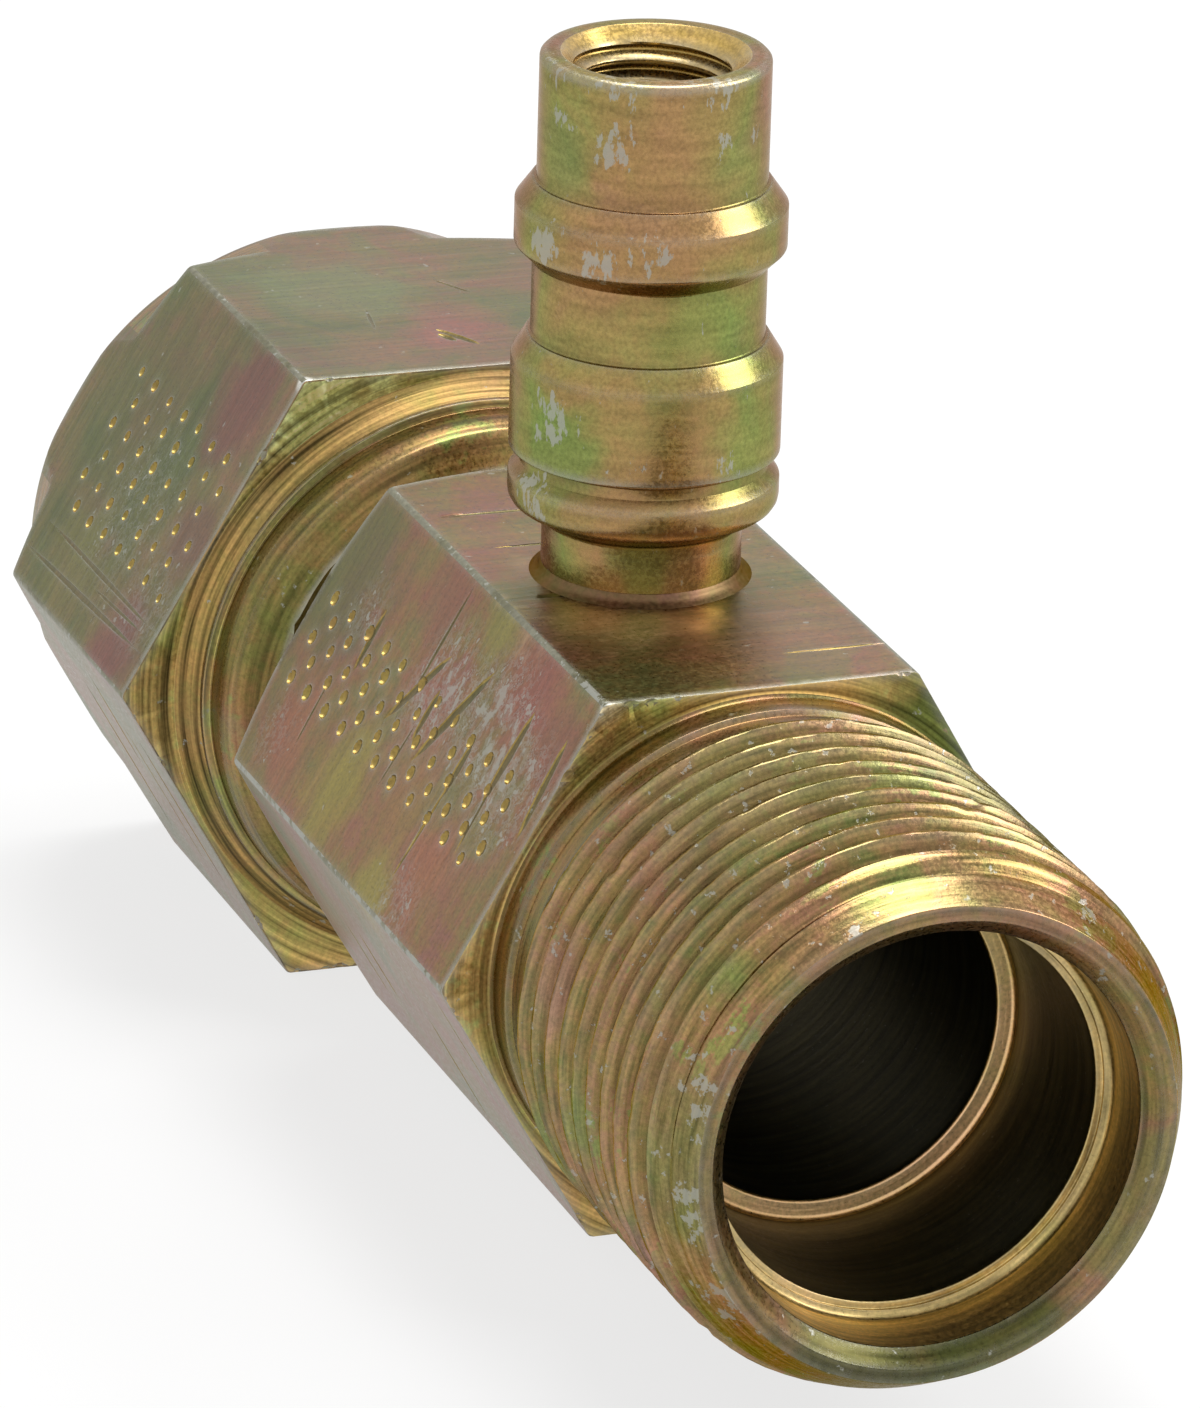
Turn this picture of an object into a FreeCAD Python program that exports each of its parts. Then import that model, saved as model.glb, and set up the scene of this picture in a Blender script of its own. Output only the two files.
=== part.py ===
import FreeCAD, Part
import math
import os

# Refrigerant service port fitting: a hexagon body on the X axis with a male thread towards +X,
# a captive swivel nut and O-ring pilot towards -X, and a quick-connect charge port towards +Z.
# The origin is where the port's axis crosses the line's axis. All lengths are in millimetres.

# Hexagon of the body
HEX_FLATS = 27.0
HEX_FRONT_X = 16.4
HEX_REAR_X = -15.4
HEX_REAR_CHAMFER_ANGLE = 30.0
HEX_REAR_FACE_R = 13.6
HEX_EDGE_BREAK = 0.15

# Male end: 1 1/16 inch thread, 14 to the inch, drawn at its major radius, behind a plain shank
THREAD_MAJOR_R = 13.49
MALE_LENGTH = 23.5
SHANK_R = 13.0
SHANK_LENGTH = 1.75
SHANK_FILLET = 0.3
RELIEF_R = 12.3
RELIEF_WIDTH = 1.5
MALE_FACE_R = 11.65
MALE_CHAMFER_ANGLE = 30.0

# Stepped bore of the male end, each depth counted from the end face
MOUTH_R = 10.95
GLAND_BORE_R = 10.15
GLAND_DEPTH = 4.1
GLAND_CORNER = 0.45
SEAT_STEP_R = 9.75
SEAT_STEP_DEPTH = 0.15
SOCKET_R = 9.4
SOCKET_DEPTH = 13.9
PASSAGE_R = 8.45
SOCKET_EDGE_BREAK = 0.2

# Rear end: neck, retaining bead and O-ring pilot
NECK_R = 11.2
NECK_FILLET = 0.6
BEAD_R = 12.4
BEAD_FRONT_X = -20.05
BEAD_WIDTH = 4.95
BEAD_EDGE_BREAK = 0.3
PILOT_CLEARANCE = 0.08
PILOT_LENGTH = 13.0
PILOT_NOSE = 0.9
PILOT_NOSE_ANGLE = 30.0
PILOT_PASSAGE_R = 7.3
PASSAGE_END_X = -9.0
RING_SECTION_R = 0.89
RING_GROOVE_R = 8.7
RING_GROOVE_WIDTH = 2.5

# Swivel nut
NUT_FLATS = 31.75
NUT_NEAR_X = -23.7
NUT_LENGTH = 22.6
NUT_REST_TURN = -0.5
NUT_NOSE_R = 16.45
NUT_NOSE_LENGTH = 2.9
NUT_NOSE_TAPER = 0.3
NUT_NOSE_ROUND = 0.8
NUT_CORNER_ANGLE = 36.0
NUT_THREAD_MINOR_R = 12.6
NUT_THREAD_LENGTH = 17.0
NUT_MOUTH_R = 13.75
NUT_RELIEF_R = 13.7
NUT_RELIEF_WIDTH = 2.4
NUT_BORE_CLEARANCE = 0.15
COLLAR_ROOT_R = 15.85
COLLAR_RING_R = 14.6
COLLAR_RING_WIDTH = 0.35
COLLAR_R = 14.15
COLLAR_CONE_LENGTH = 1.2
LIP_INNER_R = 11.7
LIP_INNER_BREAK = 0.35
LIP_THICKNESS = 1.25
LIP_ROUND = 1.5
LIP_PLAY = 0.3

# Charge port, 13 mm quick-connect form, heights counted from the flat of the hexagon
PORT_HEIGHT = 26.0
PORT_TOP_R = 5.5
PORT_FLANGE_R = 6.5
PORT_GROOVE_R = 5.6
PORT_RIM_CHAMFER = 0.3
FLANGE_1_TOP = 18.7
FLANGE_1_BOTTOM = 16.65
FLANGE_2_TOP = 11.05
FLANGE_2_BOTTOM = 6.35
FLANGE_TOP_CHAMFER_HEIGHT = 1.1
FLANGE_SHOULDER_STEP = 0.2
NICK_R = 5.95
NICK_WIDTH = 1.2
NICK_EDGE_BREAK = 0.15
COLLAR_3_BOTTOM = 3.8
COLLAR_3_ROUND = 0.9
COLLAR_3_UNDERCUT = 0.3
PORT_NECK_R = 4.8
PORT_NECK_TOP = 2.5
PORT_SPIGOT_R = 4.0
PORT_SPIGOT_LENGTH = 3.1
PORT_SOCKET_CLEARANCE = 0.05
BRAZE_LEG = 0.55
CROSS_DRILL_R = 1.5

# Inside of the charge port, depths counted from its top
CAP_MOUTH_R = 4.5
CAP_THREAD_MINOR_R = 3.46
CAP_THREAD_DEPTH = 9.0
CORE_THREAD_R = 2.6
CORE_THREAD_DEPTH = 14.6
CORE_SEAT_LENGTH = 2.0
CORE_BORE_R = 2.05
CORE_BORE_DEPTH = 27.0
DRILL_POINT_ANGLE = 59.0

# Valve core, depths counted from the top of the port
PLUG_DEPTH = 9.9
PLUG_LENGTH = 4.0
PLUG_CLEARANCE = 0.05
PLUG_BORE_R = 1.25
PLUG_BRIDGE_WIDTH = 2.4
PLUG_BRIDGE_HEIGHT = 1.5
PLUG_BRIDGE_HOLE_R = 0.95
BARREL_FLANGE_R = 2.2
BARREL_FLANGE_LENGTH = 1.0
BARREL_R = 1.75
BARREL_BORE_R = 1.25
BARREL_LENGTH = 9.0
BARREL_FLOOR = 0.8
BARREL_HOLE_R = 0.8
BARREL_SEAL_LENGTH = 1.6
SEAL_CLEARANCE = 0.01
PIN_R = 0.5
PIN_RIVET_R = 0.8
PIN_HEAD_R = 0.78
PIN_HEAD_LENGTH = 1.4
PIN_CROWN = 0.26
PIN_PROUD = 0.6
PIN_BUTTON_R = 1.12
PIN_BUTTON_LENGTH = 0.4
PIN_TAIL = 0.7
CUP_SEAL_R = 1.5
CUP_SEAL_HEIGHT = 0.9
CUP_WALL = 0.15
CUP_FLOOR = 0.4
CUP_RIM_HEIGHT = 0.5
SPRING_WIRE_R = 0.13
SPRING_MEAN_R = 0.88
SPRING_LENGTH = 6.2
SPRING_TURNS = 5

# How far a cutter or an envelope reaches past the metal
MARGIN = 1.0

# Share of a round's radius that its middle lies inside each of the two sides that it joins
ROUND_SAG = 1 - math.sqrt(0.5)

# Places that follow from the sizes above
FLAT_Z = HEX_FLATS / 2
MALE_FACE_X = HEX_FRONT_X + MALE_LENGTH
BEAD_REAR_X = BEAD_FRONT_X - BEAD_WIDTH
PILOT_R = SOCKET_R - PILOT_CLEARANCE
PILOT_END_X = BEAD_REAR_X - PILOT_LENGTH
NUT_FAR_X = NUT_NEAR_X - NUT_LENGTH
NUT_BORE_R = BEAD_R + NUT_BORE_CLEARANCE
LIP_FLANK_X = BEAD_FRONT_X + LIP_PLAY
LIP_END_X = LIP_FLANK_X + LIP_THICKNESS
PORT_TOP_Z = FLAT_Z + PORT_HEIGHT
SPIGOT_END_Z = FLAT_Z - PORT_SPIGOT_LENGTH
PLUG_TOP_Z = PORT_TOP_Z - PLUG_DEPTH
BARREL_TOP_Z = PLUG_TOP_Z - PLUG_LENGTH
BARREL_END_Z = BARREL_TOP_Z - BARREL_LENGTH
SPRING_FOOT_Z = BARREL_END_Z + BARREL_FLOOR
CORE_SEAT_TOP_Z = PORT_TOP_Z - CORE_THREAD_DEPTH

ORIGIN = FreeCAD.Vector(0, 0, 0)
X_AXIS = FreeCAD.Vector(1, 0, 0)
Z_AXIS = FreeCAD.Vector(0, 0, 1)


def tan(degrees):
    return math.tan(math.radians(degrees))


def outline(points, place):
    """Closed wire through (axial, radius) points; a point of four numbers ends an arc whose
    middle is given by its last two."""
    edges = []
    start = place(points[0][0], points[0][1])
    here = start
    for point in points[1:]:
        there = place(point[0], point[1])
        if len(point) == 4:
            middle = place(point[2], point[3])
            edges.append(Part.Arc(here, middle, there).toShape())
        else:
            edges.append(Part.makeLine(here, there))
        here = there
    edges.append(Part.makeLine(here, start))
    return Part.Wire(edges)


def turned_on_x(points):
    """Solid of revolution about the line's axis from (x, radius) points."""
    wire = outline(points, lambda x, r: FreeCAD.Vector(x, 0, r))
    return Part.Face(wire).revolve(ORIGIN, X_AXIS, 360)


def turned_on_z(points):
    """Solid of revolution about the port's axis from (z, radius) points."""
    wire = outline(points, lambda z, r: FreeCAD.Vector(r, 0, z))
    return Part.Face(wire).revolve(ORIGIN, Z_AXIS, 360)


def hexagon_bar(flats, low_x, high_x, turn=0.0):
    """Hexagon bar along X with a flat facing +Z, turned about X by turn degrees."""
    corner_r = flats / math.sqrt(3)
    corners = []
    for k in range(7):
        angle = math.radians(60 * k + turn)
        corners.append(FreeCAD.Vector(low_x, corner_r * math.cos(angle), corner_r * math.sin(angle)))
    face = Part.Face(Part.makePolygon(corners))
    return face.extrude(FreeCAD.Vector(high_x - low_x, 0, 0))


def body_hexagon():
    """The hexagon, with the turned chamfer of its rear corners and a broken front edge."""
    corner_r = HEX_FLATS / math.sqrt(3)
    beyond = corner_r + MARGIN
    rise = (beyond - HEX_REAR_FACE_R) * tan(HEX_REAR_CHAMFER_ANGLE)
    envelope = turned_on_x([
        (HEX_REAR_X, 0),
        (HEX_REAR_X, HEX_REAR_FACE_R),
        (HEX_REAR_X + rise, beyond),
        (HEX_FRONT_X - HEX_EDGE_BREAK, beyond),
        (HEX_FRONT_X - HEX_EDGE_BREAK, corner_r),
        (HEX_FRONT_X, corner_r - HEX_EDGE_BREAK),
        (HEX_FRONT_X, 0),
    ])
    return hexagon_bar(HEX_FLATS, HEX_REAR_X, HEX_FRONT_X).common(envelope)


def male_end():
    """Shank filleted into the hexagon, relief groove, thread blank and a long nose chamfer."""
    foot_r = SHANK_R + SHANK_FILLET
    sag = SHANK_FILLET * ROUND_SAG
    shank_end = HEX_FRONT_X + SHANK_LENGTH
    relief_end = shank_end + RELIEF_WIDTH
    flank = THREAD_MAJOR_R - RELIEF_R
    chamfer = (THREAD_MAJOR_R - MALE_FACE_R) / tan(MALE_CHAMFER_ANGLE)
    return turned_on_x([
        (HEX_FRONT_X - MARGIN, 0),
        (HEX_FRONT_X - MARGIN, foot_r),
        (HEX_FRONT_X, foot_r),
        (HEX_FRONT_X + SHANK_FILLET, SHANK_R, HEX_FRONT_X + sag, SHANK_R + sag),
        (shank_end, SHANK_R),
        (shank_end, RELIEF_R),
        (relief_end, RELIEF_R),
        (relief_end + flank, THREAD_MAJOR_R),
        (MALE_FACE_X - chamfer, THREAD_MAJOR_R),
        (MALE_FACE_X, MALE_FACE_R),
        (MALE_FACE_X, 0),
    ])


def rear_end():
    """Neck, retaining bead and grooved pilot behind the hexagon."""
    groove_end = BEAD_REAR_X - RING_GROOVE_WIDTH
    nose = PILOT_NOSE * tan(PILOT_NOSE_ANGLE)
    foot_r = NECK_R + NECK_FILLET
    sag = NECK_FILLET * ROUND_SAG
    return turned_on_x([
        (HEX_REAR_X + MARGIN, 0),
        (HEX_REAR_X + MARGIN, foot_r),
        (HEX_REAR_X, foot_r),
        (HEX_REAR_X - NECK_FILLET, NECK_R, HEX_REAR_X - sag, NECK_R + sag),
        (BEAD_FRONT_X, NECK_R),
        (BEAD_FRONT_X, BEAD_R - BEAD_EDGE_BREAK),
        (BEAD_FRONT_X - BEAD_EDGE_BREAK, BEAD_R),
        (BEAD_REAR_X + BEAD_EDGE_BREAK, BEAD_R),
        (BEAD_REAR_X, BEAD_R - BEAD_EDGE_BREAK),
        (BEAD_REAR_X, RING_GROOVE_R),
        (groove_end, RING_GROOVE_R),
        (groove_end, PILOT_R),
        (PILOT_END_X + PILOT_NOSE, PILOT_R),
        (PILOT_END_X, PILOT_R - nose),
        (PILOT_END_X, 0),
    ])


def line_bore():
    """The stepped bore from the male end's face to the pilot's tip."""
    face = MALE_FACE_X
    gland = face - GLAND_DEPTH
    socket = face - SOCKET_DEPTH
    step = PASSAGE_R - PILOT_PASSAGE_R
    return turned_on_x([
        (face + MARGIN, 0),
        (face + MARGIN, MOUTH_R),
        (face, MOUTH_R),
        (face - (MOUTH_R - GLAND_BORE_R), GLAND_BORE_R),
        (gland + GLAND_CORNER, GLAND_BORE_R),
        (gland, GLAND_BORE_R - GLAND_CORNER / 2),
        (gland, SEAT_STEP_R),
        (gland - SEAT_STEP_DEPTH, SEAT_STEP_R),
        (gland - SEAT_STEP_DEPTH, SOCKET_R),
        (socket, SOCKET_R),
        (socket, PASSAGE_R + SOCKET_EDGE_BREAK),
        (socket - SOCKET_EDGE_BREAK, PASSAGE_R),
        (PASSAGE_END_X, PASSAGE_R),
        (PASSAGE_END_X - step, PILOT_PASSAGE_R),
        (PILOT_END_X - MARGIN, PILOT_PASSAGE_R),
        (PILOT_END_X - MARGIN, 0),
    ])


def fitting_body():
    """Hexagon, male end and rear end in one machined piece, with the port's socket drilled in."""
    solid = body_hexagon().fuse([male_end(), rear_end()])
    solid = solid.cut(line_bore())
    socket_r = PORT_SPIGOT_R + PORT_SOCKET_CLEARANCE
    socket = Part.makeCylinder(socket_r, PORT_SPIGOT_LENGTH + MARGIN, FreeCAD.Vector(0, 0, SPIGOT_END_Z))
    drill = Part.makeCylinder(CROSS_DRILL_R, SPIGOT_END_Z, ORIGIN)
    return solid.cut([socket, drill]).removeSplitter()


def pilot_o_ring():
    """Ring seated on the floor of the pilot's groove."""
    ring = Part.makeTorus(RING_GROOVE_R + RING_SECTION_R, RING_SECTION_R, ORIGIN, X_AXIS)
    ring.translate(FreeCAD.Vector(BEAD_REAR_X - RING_GROOVE_WIDTH / 2, 0, 0))
    return ring


def nut_outside():
    """Turned envelope of the nut: corner cone, round nose, cone to the collar and rolled lip."""
    beyond = NUT_FLATS / math.sqrt(3) + MARGIN
    nose_start = NUT_FAR_X + NUT_NOSE_LENGTH
    nose_end_r = NUT_NOSE_R - NUT_NOSE_TAPER
    nose_sag = NUT_NOSE_ROUND * ROUND_SAG
    cone = (beyond - NUT_NOSE_R) * tan(NUT_CORNER_ANGLE)
    ring_x = NUT_NEAR_X + COLLAR_CONE_LENGTH
    lip_sag = LIP_ROUND * ROUND_SAG
    return turned_on_x([
        (NUT_FAR_X, 0),
        (NUT_FAR_X, nose_end_r - NUT_NOSE_ROUND),
        (NUT_FAR_X + NUT_NOSE_ROUND, nose_end_r, NUT_FAR_X + nose_sag, nose_end_r - nose_sag),
        (nose_start, NUT_NOSE_R),
        (nose_start + cone, beyond),
        (NUT_NEAR_X, beyond),
        (NUT_NEAR_X, COLLAR_ROOT_R),
        (ring_x, COLLAR_RING_R),
        (ring_x + COLLAR_RING_WIDTH, COLLAR_RING_R),
        (ring_x + COLLAR_RING_WIDTH, COLLAR_R),
        (LIP_END_X - LIP_ROUND, COLLAR_R),
        (LIP_END_X, COLLAR_R - LIP_ROUND, LIP_END_X - lip_sag, COLLAR_R - lip_sag),
        (LIP_END_X, 0),
    ])


def nut_inside():
    """Nut bore: mouth, thread at its minor radius, relief, bead chamber and lip opening."""
    mouth_end = NUT_FAR_X + NUT_MOUTH_R - NUT_THREAD_MINOR_R
    thread_end = mouth_end + NUT_THREAD_LENGTH
    relief_end = thread_end + NUT_RELIEF_WIDTH
    slope = NUT_RELIEF_R - NUT_BORE_R
    return turned_on_x([
        (NUT_FAR_X - MARGIN, 0),
        (NUT_FAR_X - MARGIN, NUT_MOUTH_R),
        (NUT_FAR_X, NUT_MOUTH_R),
        (mouth_end, NUT_THREAD_MINOR_R),
        (thread_end, NUT_THREAD_MINOR_R),
        (thread_end, NUT_RELIEF_R),
        (relief_end - slope, NUT_RELIEF_R),
        (relief_end, NUT_BORE_R),
        (LIP_FLANK_X, NUT_BORE_R),
        (LIP_FLANK_X, LIP_INNER_R),
        (LIP_END_X - LIP_INNER_BREAK, LIP_INNER_R),
        (LIP_END_X + MARGIN, LIP_INNER_R + LIP_INNER_BREAK + MARGIN),
        (LIP_END_X + MARGIN, 0),
    ])


def swivel_nut():
    """Hexagon nut held on the body's bead by its rolled lip."""
    bar = hexagon_bar(NUT_FLATS, NUT_FAR_X, NUT_NEAR_X, NUT_REST_TURN)
    blank_start = FreeCAD.Vector(NUT_NEAR_X - MARGIN, 0, 0)
    collar_blank = Part.makeCylinder(COLLAR_ROOT_R, LIP_END_X - blank_start.x, blank_start, X_AXIS)
    solid = bar.fuse(collar_blank).common(nut_outside())
    return solid.cut(nut_inside()).removeSplitter()


def port_outside():
    """Turned outside of the charge port, from its spigot up to its rim."""
    top = PORT_TOP_Z
    z1_top = FLAT_Z + FLANGE_1_TOP
    z1_low = FLAT_Z + FLANGE_1_BOTTOM
    z2_top = FLAT_Z + FLANGE_2_TOP
    z2_low = FLAT_Z + FLANGE_2_BOTTOM
    z3_low = FLAT_Z + COLLAR_3_BOTTOM
    shoulder_1 = PORT_TOP_R + FLANGE_SHOULDER_STEP
    shoulder_2 = PORT_GROOVE_R + FLANGE_SHOULDER_STEP
    under = PORT_FLANGE_R - PORT_GROOVE_R
    nick = PORT_FLANGE_R - NICK_R
    z3_top = z2_low - NICK_WIDTH
    sag = COLLAR_3_ROUND * ROUND_SAG
    flange_3_low_r = PORT_FLANGE_R - COLLAR_3_ROUND
    return turned_on_z([
        (SPIGOT_END_Z, 0),
        (SPIGOT_END_Z, PORT_SPIGOT_R),
        (FLAT_Z, PORT_SPIGOT_R),
        (FLAT_Z, PORT_NECK_R),
        (FLAT_Z + PORT_NECK_TOP, PORT_NECK_R),
        (z3_low - COLLAR_3_UNDERCUT, flange_3_low_r),
        (z3_low + COLLAR_3_ROUND, PORT_FLANGE_R, z3_low + sag, PORT_FLANGE_R - sag),
        (z3_top, PORT_FLANGE_R),
        (z3_top + nick, NICK_R),
        (z2_low - NICK_EDGE_BREAK, NICK_R),
        (z2_low, PORT_FLANGE_R - NICK_EDGE_BREAK),
        (z2_low + NICK_EDGE_BREAK, PORT_FLANGE_R),
        (z2_top, PORT_FLANGE_R),
        (z2_top + FLANGE_TOP_CHAMFER_HEIGHT, shoulder_2),
        (z2_top + FLANGE_TOP_CHAMFER_HEIGHT, PORT_GROOVE_R),
        (z1_low - under, PORT_GROOVE_R),
        (z1_low, PORT_FLANGE_R),
        (z1_top, PORT_FLANGE_R),
        (z1_top + FLANGE_TOP_CHAMFER_HEIGHT, shoulder_1),
        (z1_top + FLANGE_TOP_CHAMFER_HEIGHT, PORT_TOP_R),
        (top - PORT_RIM_CHAMFER, PORT_TOP_R),
        (top, PORT_TOP_R - PORT_RIM_CHAMFER),
        (top, 0),
    ])


def port_inside():
    """Cap thread, core thread, core seat, core bore and the passage down through the spigot."""
    top = PORT_TOP_Z
    cap_end = top - CAP_THREAD_DEPTH
    cap_point = (CAP_THREAD_MINOR_R - CORE_THREAD_R) / tan(DRILL_POINT_ANGLE)
    core_end = top - CORE_BORE_DEPTH
    core_point = (CORE_BORE_R - CROSS_DRILL_R) / tan(DRILL_POINT_ANGLE)
    return turned_on_z([
        (top + MARGIN, 0),
        (top + MARGIN, CAP_MOUTH_R),
        (top, CAP_MOUTH_R),
        (top - (CAP_MOUTH_R - CAP_THREAD_MINOR_R), CAP_THREAD_MINOR_R),
        (cap_end, CAP_THREAD_MINOR_R),
        (cap_end - cap_point, CORE_THREAD_R),
        (CORE_SEAT_TOP_Z, CORE_THREAD_R),
        (CORE_SEAT_TOP_Z - CORE_SEAT_LENGTH, CORE_BORE_R),
        (core_end, CORE_BORE_R),
        (core_end - core_point, CROSS_DRILL_R),
        (SPIGOT_END_Z - MARGIN, CROSS_DRILL_R),
        (SPIGOT_END_Z - MARGIN, 0),
    ])


def charge_port():
    """The charge port as turned, standing in the body's socket on its neck's shoulder."""
    return port_outside().cut(port_inside())


def braze_ring():
    """Hollow fillet of braze round the foot of the port."""
    foot_r = PORT_NECK_R + BRAZE_LEG
    sag = BRAZE_LEG * ROUND_SAG
    return turned_on_z([
        (FLAT_Z, PORT_NECK_R),
        (FLAT_Z, foot_r),
        (FLAT_Z + BRAZE_LEG, PORT_NECK_R, FLAT_Z + sag, PORT_NECK_R + sag),
    ])


def core_plug():
    """Threaded head of the valve core, with a wrench bridge across its top."""
    r = CORE_THREAD_R - PLUG_CLEARANCE
    z = BARREL_TOP_Z
    solid = Part.makeCylinder(r, PLUG_LENGTH, FreeCAD.Vector(0, 0, z))
    bridge_z = PLUG_TOP_Z - PLUG_BRIDGE_HEIGHT
    bore = Part.makeCylinder(PLUG_BORE_R, bridge_z - z, FreeCAD.Vector(0, 0, z))
    hole = Part.makeCylinder(PLUG_BRIDGE_HOLE_R, PLUG_LENGTH, FreeCAD.Vector(0, 0, z))
    slabs = []
    for side in (-1, 1):
        slab = Part.makeBox(2 * r, r, PLUG_BRIDGE_HEIGHT)
        low_y = PLUG_BRIDGE_WIDTH / 2 if side > 0 else -PLUG_BRIDGE_WIDTH / 2 - r
        slab.translate(FreeCAD.Vector(-r, low_y, bridge_z))
        slabs.append(slab)
    return solid.cut([bore, hole] + slabs)


def core_barrel():
    """Barrel hung from the plug, with a floor that carries the spring and shuts on the cup seal."""
    flange_low = BARREL_TOP_Z - BARREL_FLANGE_LENGTH
    outside = turned_on_z([
        (BARREL_END_Z, 0),
        (BARREL_END_Z, BARREL_R),
        (flange_low, BARREL_R),
        (flange_low, BARREL_FLANGE_R),
        (BARREL_TOP_Z, BARREL_FLANGE_R),
        (BARREL_TOP_Z, 0),
    ])
    inside = turned_on_z([
        (BARREL_TOP_Z + MARGIN, 0),
        (BARREL_TOP_Z + MARGIN, BARREL_BORE_R),
        (SPRING_FOOT_Z, BARREL_BORE_R),
        (SPRING_FOOT_Z, BARREL_HOLE_R),
        (BARREL_END_Z - MARGIN, BARREL_HOLE_R),
        (BARREL_END_Z - MARGIN, 0),
    ])
    return outside.cut(inside)


def core_seat_r(z):
    """Radius of the port's conical core seat at a height z."""
    share = (CORE_SEAT_TOP_Z - z) / CORE_SEAT_LENGTH
    return CORE_THREAD_R - share * (CORE_THREAD_R - CORE_BORE_R)


def core_barrel_seal():
    """Tapered ring between the barrel and the seat in the port."""
    top = BARREL_TOP_Z - BARREL_FLANGE_LENGTH
    low = top - BARREL_SEAL_LENGTH
    return turned_on_z([
        (low, BARREL_R),
        (low, core_seat_r(low) - SEAL_CLEARANCE),
        (top, core_seat_r(top) - SEAL_CLEARANCE),
        (top, BARREL_R),
    ])


def core_pin():
    """Valve pin: head in the bridge, spring button, stem and riveted tail under the cup."""
    top = PLUG_TOP_Z + PIN_PROUD
    button_low = SPRING_FOOT_Z + SPRING_LENGTH
    cup_low = BARREL_END_Z - CUP_SEAL_HEIGHT - CUP_FLOOR
    return turned_on_z([
        (cup_low - PIN_TAIL, 0),
        (cup_low - PIN_TAIL, PIN_R),
        (cup_low, PIN_RIVET_R),
        (cup_low, PIN_R),
        (button_low, PIN_R),
        (button_low, PIN_BUTTON_R),
        (button_low + PIN_BUTTON_LENGTH, PIN_BUTTON_R),
        (button_low + PIN_BUTTON_LENGTH, PIN_R),
        (top - PIN_HEAD_LENGTH, PIN_R),
        (top - PIN_HEAD_LENGTH, PIN_HEAD_R),
        (top - PIN_CROWN, PIN_HEAD_R),
        (top, PIN_HEAD_R - PIN_CROWN),
        (top, 0),
    ])


def core_cup_seal():
    """Rubber washer that the spring holds against the barrel's floor."""
    low = BARREL_END_Z - CUP_SEAL_HEIGHT
    washer = Part.makeCylinder(CUP_SEAL_R, CUP_SEAL_HEIGHT, FreeCAD.Vector(0, 0, low))
    return washer.cut(Part.makeCylinder(PIN_R, CUP_SEAL_HEIGHT, FreeCAD.Vector(0, 0, low)))


def core_cup():
    """Cup that holds the washer on the pin."""
    floor_z = BARREL_END_Z - CUP_SEAL_HEIGHT
    low = floor_z - CUP_FLOOR
    outer_r = CUP_SEAL_R + CUP_WALL
    return turned_on_z([
        (low, PIN_R),
        (low, outer_r - CUP_WALL),
        (low + CUP_WALL, outer_r),
        (floor_z + CUP_RIM_HEIGHT, outer_r),
        (floor_z + CUP_RIM_HEIGHT, CUP_SEAL_R),
        (floor_z, CUP_SEAL_R),
        (floor_z, PIN_R),
    ])


def core_spring():
    """Round-wire coil between the barrel's floor and the pin's button."""
    rise = SPRING_LENGTH - 2 * SPRING_WIRE_R
    path = Part.makeHelix(rise / SPRING_TURNS, rise, SPRING_MEAN_R)
    start = FreeCAD.Vector(SPRING_MEAN_R, 0, 0)
    section = Part.Wire(Part.makeCircle(SPRING_WIRE_R, start, FreeCAD.Vector(0, 1, 0)))
    coil = Part.Wire(path).makePipeShell([section], True, True)
    coil.translate(FreeCAD.Vector(0, 0, SPRING_FOOT_Z + SPRING_WIRE_R))
    return coil


PIECES = {
    "fitting_body": fitting_body,
    "swivel_nut": swivel_nut,
    "pilot_o_ring": pilot_o_ring,
    "charge_port": charge_port,
    "braze_ring": braze_ring,
    "core_plug": core_plug,
    "core_barrel": core_barrel,
    "core_barrel_seal": core_barrel_seal,
    "core_pin": core_pin,
    "core_cup_seal": core_cup_seal,
    "core_cup": core_cup,
    "core_spring": core_spring,
}

os.makedirs("parts", exist_ok=True)
for name, make in PIECES.items():
    shape = make()
    shape.exportStep("parts/" + name + ".step")
    print(name, len(shape.Solids), "solid", shape.isValid(), round(shape.Volume, 3), "mm3")
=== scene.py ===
"""Looks of the refrigerant service port fitting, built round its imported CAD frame.

Shapes are modelled in millimetres on the CAD axes and brought to metres when they are finished.
The line runs along X with the male thread towards +X, and the charge port stands along Z.
"""

import math
import random

import bmesh
import bpy
from mathutils import Matrix, Vector, noise


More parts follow.
